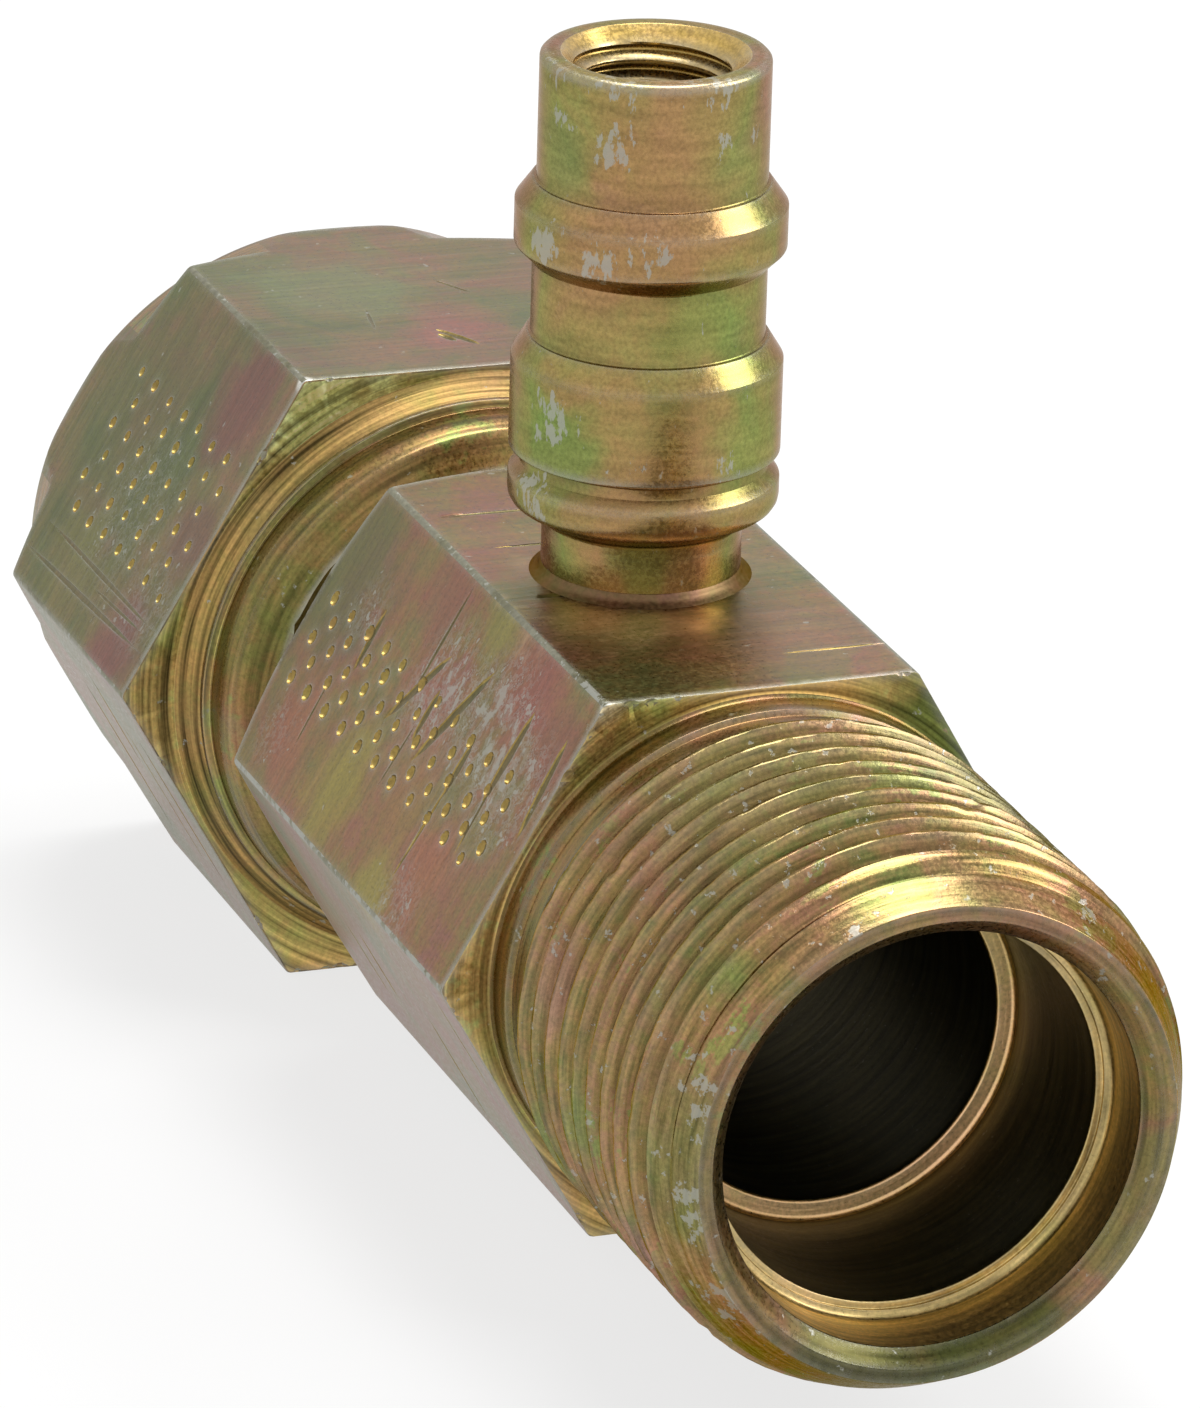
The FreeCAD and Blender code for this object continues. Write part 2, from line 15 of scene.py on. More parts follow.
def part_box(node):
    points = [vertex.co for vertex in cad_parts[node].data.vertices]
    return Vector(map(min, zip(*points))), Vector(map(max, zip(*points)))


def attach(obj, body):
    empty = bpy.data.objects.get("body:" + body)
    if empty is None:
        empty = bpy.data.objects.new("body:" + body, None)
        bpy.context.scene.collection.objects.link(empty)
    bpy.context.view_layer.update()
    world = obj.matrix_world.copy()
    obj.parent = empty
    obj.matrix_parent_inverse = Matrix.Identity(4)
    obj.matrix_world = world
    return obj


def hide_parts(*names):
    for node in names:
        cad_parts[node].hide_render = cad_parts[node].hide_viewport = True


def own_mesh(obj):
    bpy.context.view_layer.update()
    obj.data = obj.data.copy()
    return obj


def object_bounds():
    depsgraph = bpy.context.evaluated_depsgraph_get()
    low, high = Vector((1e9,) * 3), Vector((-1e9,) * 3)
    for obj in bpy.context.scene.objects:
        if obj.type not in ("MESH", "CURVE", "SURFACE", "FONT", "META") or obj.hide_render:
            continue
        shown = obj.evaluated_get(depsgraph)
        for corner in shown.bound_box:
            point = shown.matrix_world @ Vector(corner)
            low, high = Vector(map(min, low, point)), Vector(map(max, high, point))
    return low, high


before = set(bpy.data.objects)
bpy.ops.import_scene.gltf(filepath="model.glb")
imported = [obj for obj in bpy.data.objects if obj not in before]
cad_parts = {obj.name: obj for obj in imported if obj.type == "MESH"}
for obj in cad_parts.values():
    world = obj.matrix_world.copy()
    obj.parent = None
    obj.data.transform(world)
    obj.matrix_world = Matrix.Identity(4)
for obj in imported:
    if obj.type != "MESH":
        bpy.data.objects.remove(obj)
CAD_BOX = [list(corner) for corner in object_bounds()]
MM = 0.001


def in_mm(name):
    """Lowest and highest corner of a CAD node, in millimetres."""
    low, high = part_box(name)
    return low / MM, high / MM


BODY_LOW, BODY_HIGH = in_mm("fitting_body")
NUT_LOW, NUT_HIGH = in_mm("swivel_nut")
PORT_LOW, PORT_HIGH = in_mm("charge_port")
SPRING_LOW, SPRING_HIGH = in_mm("core_spring")

# Steps round a turned surface, and the finest spacing of rings along it
ROUND_STEPS = 160
RING_SPACING = 0.6

# Hexagon of the body
HEX_FLATS = 27.0
HEX_FRONT_X = 16.4
HEX_REAR_X = -15.4
HEX_REAR_FACE_R = 13.6
HEX_REAR_CHAMFER = 30.0
END_BREAK = 0.1

# Male end
MALE_FACE_X = BODY_HIGH.x
FACE_BREAK = 0.06
THREAD_MAJOR_R = 13.49
THREAD_PITCH = 25.4 / 14
THREAD_DEPTH_SHARE = 0.6134
THREAD_RUN_OUT = 0.9
SHANK_R = 13.0
SHANK_FILLET = 0.3
WORN_RELIEF_R = 12.72
SHANK_END_X = 18.15
RELIEF_END_X = 19.65
MALE_FACE_R = 11.65
MALE_CHAMFER = 30.0

# Stepped bore behind the male face
MOUTH_R = 10.95
GLAND_R = 10.15
GLAND_DEPTH = 4.1
SEAT_R = 9.75
SEAT_DEPTH = 4.25
SOCKET_R = 9.4
SOCKET_DEPTH = 13.9
PASSAGE_R = 8.45
PASSAGE_END_X = -9.0
PILOT_PASSAGE_R = 7.3

# Neck, bead and pilot
NECK_R = 11.2
BEAD_R = 12.4
BEAD_FRONT_X = -20.05
BEAD_REAR_X = -25.0
GROOVE_END_X = -27.5
GROOVE_R = 8.7
PILOT_R = 9.32
PILOT_NOSE = 0.9
PILOT_END_X = BODY_LOW.x

# Swivel nut
NUT_FLATS = 31.75
NUT_TURN = -0.5
NUT_NEAR_X = -23.7
NUT_FAR_X = NUT_LOW.x
LIP_END_X = NUT_HIGH.x
NUT_NOSE_R = 16.45
NUT_NOSE_X = NUT_FAR_X + 2.9
NUT_CORNER_CONE = 36.0
NUT_MINOR_R = 12.6
NUT_MAJOR_R = 13.6
NUT_MOUTH_R = 13.75
NUT_THREAD_LENGTH = 17.0
NUT_RELIEF_R = 13.7
NUT_CHAMBER_R = 12.55
NUT_FLOAT = 0.3
LIP_R = 11.7
COLLAR_R = 14.15
COLLAR_FOOT_R = 14.6

# Charge port
PORT_TOP_Z = PORT_HIGH.z
PORT_LOW_Z = PORT_LOW.z
FLAT_Z = HEX_FLATS / 2
PORT_FLANGE_R = 6.5
PORT_WAIST_R = 5.6
PORT_LAND_R = 5.5
PORT_NICK_R = 5.95
PORT_NECK_R = 4.8
PORT_MOUTH_R = 4.5
PORT_MOUTH_BREAK = 0.08
CAP_MINOR_R = 3.46
CAP_MAJOR_R = 4.0
CAP_PITCH = 1.0
CAP_THREAD_DEPTH = 9.0
CORE_THREAD_R = 2.6
CORE_BORE_R = 2.05
# Spigot below the neck, its play in the body's socket, and the passage drilled on to the bore
SPIGOT_R = 4.0
SPIGOT_CLEARANCE = 0.05
CROSS_DRILL_R = 1.5

# O-ring on the pilot, braze fillet at the port's foot and return spring of the valve
RING_SECTION_R = 0.89
BRAZE_LEG = 0.55
SPRING_WIRE_R = 0.13
SPRING_MEAN_R = 0.88
SPRING_TURNS = 5

# Turn of the flats that carry the peened marks, in degrees from +Y towards +Z. A hexagon's flats
# face out at 30 degrees and each 60 degrees on, and its corners lie half way between them
MARKED_FLAT = 150
FIRST_FLAT = 30
FLAT_STEP = 60

# Share of a hexagon's width over flats that is the radius where its broken long edges begin
EDGE_START_SHARE = 0.56
# Depth below a flat to which a face still counts as the flat's own, and the depths of a mark's faces
FLAT_SKIN = 0.2
MARK_LEAST_DEPTH = 0.012
MARK_MOST_DEPTH = 0.4
# Least part of a mark's normal along the flat's, for a wall and for a floor
WALL_FACES_OUT = 0.35
FLOOR_FACES_OUT = 0.88

# Points nearer than this are one point
SAME_POINT = 0.0005
# Sharpest turn between two faces that is still shaded smooth
SMOOTH_ANGLE = 32

X_AXIS = Vector((1, 0, 0))
Z_AXIS = Vector((0, 0, 1))


def tan(degrees):
    """Tangent of an angle given in degrees."""
    return math.tan(math.radians(degrees))


def clear_selection():
    """Leaves edit mode and deselects every object."""
    if bpy.context.object is not None and bpy.context.object.mode != "OBJECT":
        bpy.ops.object.mode_set(mode="OBJECT")
    bpy.ops.object.select_all(action="DESELECT")


def edit(piece):
    """Goes into edit mode on one piece with all of it selected."""
    clear_selection()
    bpy.context.view_layer.objects.active = piece
    piece.select_set(True)
    bpy.ops.object.mode_set(mode="EDIT")
    bpy.ops.mesh.select_all(action="SELECT")


def leave():
    """Goes back to object mode."""
    bpy.ops.object.mode_set(mode="OBJECT")


def select_faces(piece, wanted):
    """Selects, in edit mode, the faces for which wanted(face) holds."""
    mesh = bmesh.from_edit_mesh(piece.data)
    for face in mesh.faces:
        face.select_set(False)
    for face in [face for face in mesh.faces if wanted(face)]:
        face.select_set(True)
    bmesh.update_edit_mesh(piece.data)


def select_edges(piece, wanted):
    """Selects, in edit mode, the edges for which wanted(edge) holds."""
    mesh = bmesh.from_edit_mesh(piece.data)
    bpy.ops.mesh.select_all(action="DESELECT")
    for edge in [edge for edge in mesh.edges if wanted(edge)]:
        edge.select_set(True)
    bmesh.update_edit_mesh(piece.data)


def along(axis, place, radius):
    """Point of an outline: place along the axis, and radius from it."""
    return Vector((place, 0, radius)) if axis == "X" else Vector((radius, 0, place))


def drawn_line(name, axis, stations):
    """An open line of (place, radius) stations, drawn by extruding one vertex from each to the next."""
    clear_selection()
    bpy.ops.mesh.primitive_plane_add(size=1)
    piece = bpy.context.object
    piece.name = name
    edit(piece)
    bpy.ops.mesh.merge(type="CENTER")
    here = Vector((0, 0, 0))
    for number, station in enumerate(stations):
        there = along(axis, *station)
        step = there - here
        if number == 0:
            bpy.ops.transform.translate(value=step)
        else:
            bpy.ops.mesh.extrude_vertices_move(TRANSFORM_OT_translate={"value": step})
        here = there
    leave()
    return piece


def spaced(stations, spacing=RING_SPACING):
    """Stations with more rings put in between, so that no two lie farther apart than the spacing."""
    dense = [stations[0]]
    for (place_a, radius_a), (place_b, radius_b) in zip(stations, stations[1:]):
        gap = math.hypot(place_b - place_a, radius_b - radius_a)
        parts = max(1, math.ceil(gap / spacing))
        for k in range(1, parts + 1):
            share = k / parts
            dense.append((place_a + share * (place_b - place_a), radius_a + share * (radius_b - radius_a)))
    return dense


def rounded(stations, steps=3):
    """Stations in which a corner given with a third number is rounded with that radius."""
    smooth = []
    for k, station in enumerate(stations):
        if len(station) == 2:
            smooth.append(station)
            continue
        corner = Vector(station[:2])
        before = (Vector(stations[k - 1][:2]) - corner).normalized()
        after = (Vector(stations[k + 1][:2]) - corner).normalized()
        half = before.angle(after) / 2
        centre = corner + (before + after).normalized() * (station[2] / math.sin(half))
        start = corner + before * (station[2] / math.tan(half)) - centre
        end = corner + after * (station[2] / math.tan(half)) - centre
        for n in range(steps + 1):
            spoke = start.lerp(end, n / steps).normalized() * start.length
            smooth.append(tuple(centre + spoke))
    return smooth


def turned(name, axis, stations, steps=ROUND_STEPS):
    """A surface turned from an outline about the X or Z axis."""
    piece = drawn_line(name, axis, stations)
    edit(piece)
    bpy.ops.mesh.spin(steps=steps, angle=math.tau, center=(0, 0, 0), axis=X_AXIS if axis == "X" else Z_AXIS)
    bpy.ops.mesh.select_all(action="SELECT")
    bpy.ops.mesh.remove_doubles(threshold=SAME_POINT)
    bpy.ops.mesh.normals_make_consistent(inside=False)
    leave()
    return piece


def apply_modifier(piece, kind, **settings):
    """Adds a modifier with its settings to a piece and applies it at once."""
    clear_selection()
    bpy.context.view_layer.objects.active = piece
    piece.select_set(True)
    modifier = piece.modifiers.new(kind.title(), kind)
    for name, value in settings.items():
        setattr(modifier, name, value)
    bpy.ops.object.modifier_apply(modifier=modifier.name)


def removed(piece):
    """Deletes a piece that has served, and its mesh."""
    mesh = piece.data
    bpy.data.objects.remove(piece)
    bpy.data.meshes.remove(mesh)


def radius_at(stations, place):
    """Radius of an outline with rising places, between its stations."""
    for (place_a, radius_a), (place_b, radius_b) in zip(stations, stations[1:]):
        if place_a <= place <= place_b:
            return radius_a + (place - place_a) / (place_b - place_a) * (radius_b - radius_a)
    return stations[0][1] if place < stations[0][0] else stations[-1][1]


def helical_thread(name, axis, pitch, crest_r, root_r, low, high, limit, inside=False):
    """A V thread from low to high, cut back to the outline given as its limit, and open at both ends."""
    depth = crest_r - root_r
    # half of a turn from the root's middle to the crest's, as (share of the pitch, share of the depth)
    crest_edge = 0.5 - 1 / 14
    form = [(0.0, 1.0), (0.07, 0.97), (0.13, 0.87), (0.22, 0.62), (0.32, 0.34)]
    form += [(crest_edge - 0.015, 0.05), (crest_edge + 0.025, 0.0), (0.5, 0.0)]
    form += [(1 - u, d) for u, d in reversed(form[:-1])]
    turns = math.ceil((high - low) / pitch) + 2
    start = low - 1.5 * pitch
    outline = [(start + u * pitch, crest_r - d * depth) for u, d in form]
    piece = drawn_line(name, axis, outline)
    apply_modifier(piece, "SCREW", axis=axis, angle=math.tau, screw_offset=pitch, iterations=turns,
                   steps=ROUND_STEPS, render_steps=ROUND_STEPS, use_smooth_shade=True)
    for vertex in piece.data.vertices:
        place = vertex.co.x if axis == "X" else vertex.co.z
        across = math.hypot(vertex.co.y, vertex.co.z if axis == "X" else vertex.co.x)
        bound = radius_at(limit, place)
        kept = max(across, bound) if inside else min(across, bound)
        scale = kept / across
        vertex.co.y *= scale
        if axis == "X":
            vertex.co.z *= scale
        else:
            vertex.co.x *= scale
    edit(piece)
    bpy.ops.mesh.remove_doubles(threshold=0.001)
    for place, side in ((low, -1), (high, 1)):
        bpy.ops.mesh.select_all(action="SELECT")
        bpy.ops.mesh.bisect(plane_co=along(axis, place, 0), plane_no=along(axis, side, 0),
                            clear_outer=True, use_fill=False)
    leave()
    return piece


def draw_out(piece, axis, place, stations):
    """Extrudes the open rim that lies at a place along the axis through further stations."""
    edit(piece)
    centre = along(axis, place, 0)
    direction = along(axis, 1, 0)
    select_edges(piece, lambda edge: edge.is_boundary and all(
        abs((v.co - centre).dot(direction)) < 0.01 for v in edge.verts))
    bpy.ops.mesh.duplicate()
    bpy.ops.mesh.separate(type="SELECTED")
    leave()
    strip = next(found for found in bpy.context.selected_objects if found is not piece)
    edit(strip)
    here, radius = stations[0]
    for there, wider in stations[1:]:
        bpy.ops.mesh.extrude_edges_move(TRANSFORM_OT_translate={"value": along(axis, there - here, 0)})
        ratio = wider / radius
        across = (1, ratio, ratio) if axis == "X" else (ratio, ratio, 1)
        bpy.ops.transform.resize(value=across, center_override=along(axis, there, 0))
        here, radius = there, wider
    leave()
    joined(piece.name, piece, strip)


def fill_ring(piece, axis, place):
    """Closes the flat ring between the two open rims that lie at a place along the axis."""
    edit(piece)
    centre = along(axis, place, 0)
    direction = along(axis, 1, 0)
    select_edges(piece, lambda edge: edge.is_boundary and all(
        abs((v.co - centre).dot(direction)) < 0.01 for v in edge.verts))
    bpy.ops.mesh.fill(use_beauty=True)
    leave()


def joined(name, first, *others):
    """Joins pieces into the first one, which gets the name."""
    clear_selection()
    for piece in (first, *others):
        piece.select_set(True)
    bpy.context.view_layer.objects.active = first
    bpy.ops.object.join()
    first.name = name
    first.data.name = name
    return first


def closed(piece):
    """Merges doubled points, turns the faces outwards and says if an edge is left open."""
    edit(piece)
    bpy.ops.mesh.remove_doubles(threshold=SAME_POINT)
    bpy.ops.mesh.select_all(action="SELECT")
    bpy.ops.mesh.normals_make_consistent(inside=False)
    mesh = bmesh.from_edit_mesh(piece.data)
    bad = sum(1 for edge in mesh.edges if not edge.is_manifold)
    leave()
    if bad:
        print(f"{piece.name}: {bad} open edges")


def hexagon_shell(name, flats, low, high, turn, cuts, edge_break):
    """Hexagon bar along X with a flat up, its sides in a fine grid and its edges broken."""
    corner_r = flats / math.sqrt(3)
    bpy.ops.mesh.primitive_cylinder_add(vertices=6, radius=corner_r, depth=high - low,
                                        location=((low + high) / 2, 0, 0), rotation=(0, math.pi / 2, 0))
    piece = bpy.context.object
    piece.name = name
    clear_selection()
    piece.select_set(True)
    bpy.ops.object.transform_apply(location=True, rotation=True, scale=True)
    top = max(face.normal.z for face in piece.data.polygons)
    lean = 0 if top > 0.99 else FLAT_STEP / 2
    piece.data.transform(Matrix.Rotation(math.radians(lean + turn), 4, "X"))
    edit(piece)
    select_faces(piece, lambda face: abs(face.normal.x) < 0.5)
    bpy.ops.mesh.subdivide(number_cuts=cuts)
    select_edges(piece, lambda edge: len(edge.link_faces) == 2 and 0.8 < edge.calc_face_angle() < 1.3)
    bpy.ops.mesh.bevel(offset=edge_break, segments=2, affect="EDGES")
    select_edges(piece, lambda edge: len(edge.link_faces) == 2 and edge.calc_face_angle() > 1.4)
    bpy.ops.mesh.bevel(offset=END_BREAK, segments=2, affect="EDGES")
    leave()
    return piece


def on_flat(angle, half, place, down):
    """Point on a flat whose normal lies at an angle from +Y: place along X, and down across the flat."""
    turn = math.radians(angle)
    normal = Vector((0, math.cos(turn), math.sin(turn)))
    across = Vector((0, -math.sin(turn), math.cos(turn)))
    return X_AXIS * place + normal * half + across * down, normal, across


def copied(piece, matrix):
    """A copy of a piece with its own mesh, moved by a matrix."""
    copy = piece.copy()
    copy.data = piece.data.copy()
    copy.data.transform(matrix)
    bpy.context.scene.collection.objects.link(copy)
    return copy


def round_punch(name, segments=14, rings=8):
    """Ball of 1 mm radius, a cutter for pits and for the spindle form of a scratch."""
    clear_selection()
    bpy.ops.mesh.primitive_uv_sphere_add(segments=segments, ring_count=rings, radius=1)
    punch = bpy.context.object
    punch.name = name
    return punch


def peened_pits(half, angle, places, rows, spread, size, seed):
    """Staggered rows of small round punch marks, a plain lattice along a flat."""
    draw = random.Random(seed)
    punch = round_punch("punch")
    pits = []
    for number, down in enumerate(rows):
        for place in places:
            shift = spread / 2 if number % 2 else 0
            centre, normal, _across = on_flat(
                angle, half, place + shift + draw.uniform(-0.12, 0.12), down + draw.uniform(-0.1, 0.1))
            radius = size * draw.uniform(0.85, 1.1)
            lift = radius * draw.uniform(0.3, 0.45)
            pits.append(copied(punch, Matrix.Translation(centre + normal * lift) @ Matrix.Scale(radius, 4)))
    removed(punch)
    return pits


def spindle(punch, start, end, normal, width, depth):
    """A scratch cutter from start to end: a ball drawn out to a thin spindle."""
    run = end - start
    side = normal.cross(run).normalized()
    columns = Matrix((run / 2, side * width / 2, normal * depth)).transposed().to_4x4()
    return copied(punch, Matrix.Translation((start + end) / 2) @ columns)


def scratches(half, angle, strokes):
    """Scratches on a flat from (place, down) to (place, down), each with a width and a depth."""
    punch = round_punch("scratch", 8, 6)
    cutters = []
    for place_a, down_a, place_b, down_b, width, depth in strokes:
        start, normal, _across = on_flat(angle, half, place_a, down_a)
        end = on_flat(angle, half, place_b, down_b)[0]
        cutters.append(spindle(punch, start, end, normal, width, depth))
    removed(punch)
    return cutters


def tool_strokes(seed, count, low, high, half):
    """Short lines that the milling cutter left across a flat, uneven in place, length and tilt."""
    draw = random.Random(seed)
    strokes = []
    for k in range(count):
        place = low + (high - low) * (k + draw.uniform(0.1, 0.9)) / count
        top = draw.uniform(-0.75, 0.1) * half
        bottom = min(top + draw.uniform(0.25, 0.7) * half, 0.5 * half)
        strokes.append((place, top, place + draw.uniform(-0.5, 0.5), bottom,
                        draw.uniform(0.24, 0.44), draw.uniform(0.05, 0.09)))
    return strokes


def edge_nicks(flats, place, turn, count, seed):
    """Small dings in the edge between the flats and an end face."""
    draw = random.Random(seed)
    punch = round_punch("nick", 10, 6)
    dings = []
    for _ in range(count):
        angle = FIRST_FLAT + FLAT_STEP * draw.randrange(6) + turn
        half = flats / 2
        down = draw.choice((-1, 1)) * draw.uniform(0.27, 0.56) * half
        radius = draw.uniform(0.15, 0.4)
        edge, normal, _across = on_flat(angle, half, place, down)
        outward = (normal + X_AXIS).normalized()
        bite = radius - draw.uniform(0.04, 0.1)
        stretch = Matrix.Diagonal((1, draw.uniform(1, 2.2), draw.uniform(1, 2.2), 1))
        place_it = Matrix.Translation(edge + outward * bite)
        dings.append(copied(punch, place_it @ Matrix.Scale(radius, 4) @ stretch))
    removed(punch)
    return dings


def nicked(piece, axis, crest_r, low, high, depth, seed, inside=False):
    """Wears the crests of a thread unevenly and dents them here and there."""
    offset = Vector((seed * 17.3, seed * 5.1, seed * 9.7))
    for vertex in piece.data.vertices:
        spot = vertex.co
        place = spot.x if axis == "X" else spot.z
        if not low < place < high:
            continue
        spoke = Vector((0, spot.y, spot.z)) if axis == "X" else Vector((spot.x, spot.y, 0))
        across = spoke.length
        near = 1 - abs(crest_r - across) / 0.3
        if near <= 0:
            continue
        wave = noise.noise(spot * 0.35 + offset)
        fine = noise.noise(spot * 1.9 - offset)
        ding = max(0.0, noise.noise(spot * 0.8 + offset * 2) - 0.42) * 3
        cut = depth * near * (0.35 * abs(wave) + 0.4 * abs(fine) + ding)
        vertex.co += spoke * ((cut if inside else -cut) / across)


def uneven_lip(piece):
    """Rolls the nut's lip unevenly, as the closing tool leaves it."""
    for vertex in piece.data.vertices:
        spot = vertex.co
        across = math.hypot(spot.y, spot.z)
        share = (spot.x - (LIP_END_X - 1.3)) / 1.3
        if share <= 0 or across > COLLAR_R - 0.02:
            continue
        share = min(1.0, share) ** 1.5
        spoke = Vector((0, spot.y / across, spot.z / across))
        slow = noise.noise(spoke * 3.1 + Vector((0.4, 0, 7)))
        quick = noise.noise(spoke * 14 + Vector((0.2 * spot.x, 3, 1)))
        quick += 0.6 * noise.noise(spoke * 37 + Vector((5, 1, 0.3 * spot.x)))
        vertex.co += spoke * share * (0.22 * slow + 0.12 * quick)
        vertex.co.x -= share * (0.1 + 0.12 * slow + 0.14 * abs(quick))


def cut_to(piece, other, operation):
    """Boolean of a piece with another one, whose own parts may overlap and which is used up."""
    apply_modifier(piece, "BOOLEAN", object=other, operation=operation, solver="EXACT",
                   use_self=operation == "DIFFERENCE")
    removed(other)


def open_disc(piece, place, radius):
    """Deletes the flat faces at a place along X that lie inside a radius."""
    edit(piece)
    select_faces(piece, lambda face: abs(face.normal.x) > 0.99 and all(
        abs(v.co.x - place) < 0.01 and math.hypot(v.co.y, v.co.z) < radius for v in face.verts))
    bpy.ops.mesh.delete(type="FACE")
    leave()


def finished(piece, body, slot, *nodes):
    """Brings a piece to metres and gives it its body and the CAD nodes that it stands for; the slot is not
    used.
    """
    piece.data.transform(Matrix.Scale(MM, 4))
    clear_selection()
    bpy.context.view_layer.objects.active = piece
    piece.select_set(True)
    bpy.ops.object.shade_smooth_by_angle(angle=math.radians(SMOOTH_ANGLE))
    apply_modifier(piece, "WEIGHTED_NORMAL", weight=80, keep_sharp=True)
    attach(piece, body)
    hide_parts(*nodes)
    return piece


def dress(piece, *finishes):
    """Gives each face the first of the (material, test) finishes whose test of centre and normal holds."""
    piece.data.materials.clear()
    for material, _test in finishes:
        piece.data.materials.append(material)
    for face in piece.data.polygons:
        for number, (_material, test) in enumerate(finishes):
            if test(face.center, face.normal):
                face.material_index = number
                break


def six_ways(first, turn):
    """Six even directions round the line, from a first angle turned on by another."""
    angles = [math.radians(first + FLAT_STEP * k + turn) for k in range(6)]
    return [Vector((0, math.cos(angle), math.sin(angle))) for angle in angles]


def on_hexagon(flats, turn):
    """Test for a face that lies in one of the six flats or in a mark cut into it."""
    normals = six_ways(FIRST_FLAT, turn)
    return lambda centre, normal: abs(normal.x) < 0.9 and any(
        normal.dot(flat) > 0.4 and centre.dot(flat) > (flats / 2 - FLAT_SKIN) * MM for flat in normals)


def in_mark(flats, turn, low, high, least, most):
    """Test for a face sunk into a flat between two places along the line, by how much it faces out."""
    normals = six_ways(FIRST_FLAT, turn)
    floor = (flats / 2 - MARK_MOST_DEPTH) * MM
    rim = (flats / 2 - MARK_LEAST_DEPTH) * MM
    return lambda centre, normal: (
        low * MM < centre.x < high * MM and radius_of(centre) < EDGE_START_SHARE * flats and any(
            least < normal.dot(flat) <= most and floor < centre.dot(flat) < rim for flat in normals))


def on_long_edge(flats, turn):
    """Test for a face of the broken edge between two neighbouring flats."""
    corners = six_ways(0, turn)
    return lambda centre, normal: radius_of(centre) > EDGE_START_SHARE * flats and any(
        normal.dot(corner) > 0.955 for corner in corners)


def radius_of(centre):
    """Distance from the line's axis, in millimetres, of a place in metres."""
    return math.hypot(centre.y, centre.z) / MM


def turned_body():
    """Turned surface of the body: relief and male thread, stepped bore, pilot, bead and neck."""
    # the thread lies between the middle of the relief and the broken edge of the male face
    strip_low = (SHANK_END_X + RELIEF_END_X) / 2
    strip_high = MALE_FACE_X - FACE_BREAK
    # its first crests are worn round into the nose chamfer
    worn_start = MALE_FACE_X - (THREAD_MAJOR_R - MALE_FACE_R) / tan(MALE_CHAMFER)
    limit = [
        (strip_low - 5, WORN_RELIEF_R),
        (RELIEF_END_X, WORN_RELIEF_R),
        (RELIEF_END_X + THREAD_RUN_OUT, THREAD_MAJOR_R),
        (worn_start - 1.4, THREAD_MAJOR_R),
        (worn_start - 0.6, THREAD_MAJOR_R - 0.06),
        (worn_start + 0.4, THREAD_MAJOR_R - 0.38),
        (worn_start + 1.3, THREAD_MAJOR_R - 0.84),
        (MALE_FACE_X, MALE_FACE_R),
        (MALE_FACE_X + 5, MALE_FACE_R),
    ]
    root_r = THREAD_MAJOR_R - THREAD_DEPTH_SHARE * THREAD_PITCH
    piece = helical_thread("fitting_body_turned", "X", THREAD_PITCH, THREAD_MAJOR_R, root_r,
                           strip_low, strip_high, limit)
    nicked(piece, "X", THREAD_MAJOR_R, RELIEF_END_X + 0.6, MALE_FACE_X - 0.5, depth=0.16, seed=3)
    draw_out(piece, "X", strip_low, spaced(rounded([
        (strip_low, WORN_RELIEF_R),
        (SHANK_END_X + 0.1, WORN_RELIEF_R, 0.1),
        (SHANK_END_X - 0.1, SHANK_R, 0.1),
        (HEX_FRONT_X, SHANK_R, SHANK_FILLET),
        (HEX_FRONT_X, SHANK_R + SHANK_FILLET + 0.02),
    ])))
    gland_x = MALE_FACE_X - GLAND_DEPTH
    seat_x = MALE_FACE_X - SEAT_DEPTH
    socket_x = MALE_FACE_X - SOCKET_DEPTH
    bore = spaced(rounded([
        (strip_high, MALE_FACE_R + 0.03),
        (MALE_FACE_X, MALE_FACE_R, FACE_BREAK),
        (MALE_FACE_X, MOUTH_R, 0.1),
        (MALE_FACE_X - (MOUTH_R - GLAND_R), GLAND_R, 0.1),
        (gland_x, GLAND_R, 0.35),
        (gland_x, SEAT_R, 0.05),
        (seat_x, SEAT_R, 0.05),
        (seat_x, SOCKET_R, 0.08),
        (socket_x, SOCKET_R, 0.25),
        (socket_x, PASSAGE_R, 0.15),
        (PASSAGE_END_X, PASSAGE_R),
        (PASSAGE_END_X - (PASSAGE_R - PILOT_PASSAGE_R), PILOT_PASSAGE_R),
    ]))
    tail = rounded([
        (PASSAGE_END_X - (PASSAGE_R - PILOT_PASSAGE_R), PILOT_PASSAGE_R),
        (PILOT_END_X, PILOT_PASSAGE_R, 0.15),
        (PILOT_END_X, PILOT_R - PILOT_NOSE * tan(30), 0.15),
        (PILOT_END_X + PILOT_NOSE, PILOT_R, 0.2),
        (GROOVE_END_X, PILOT_R, 0.12),
        (GROOVE_END_X, GROOVE_R, 0.1),
        (BEAD_REAR_X, GROOVE_R, 0.1),
        (BEAD_REAR_X, BEAD_R, 0.25),
        (BEAD_FRONT_X, BEAD_R, 0.25),
        (BEAD_FRONT_X, NECK_R, 0.1),
        (HEX_REAR_X, NECK_R, 0.6),
        (HEX_REAR_X, NECK_R + 0.7),
    ])
    # the pilot's end is hidden by the nut, so its rings lie farther apart
    draw_out(piece, "X", strip_high, bore + spaced(tail, 1.2)[1:])
    return piece


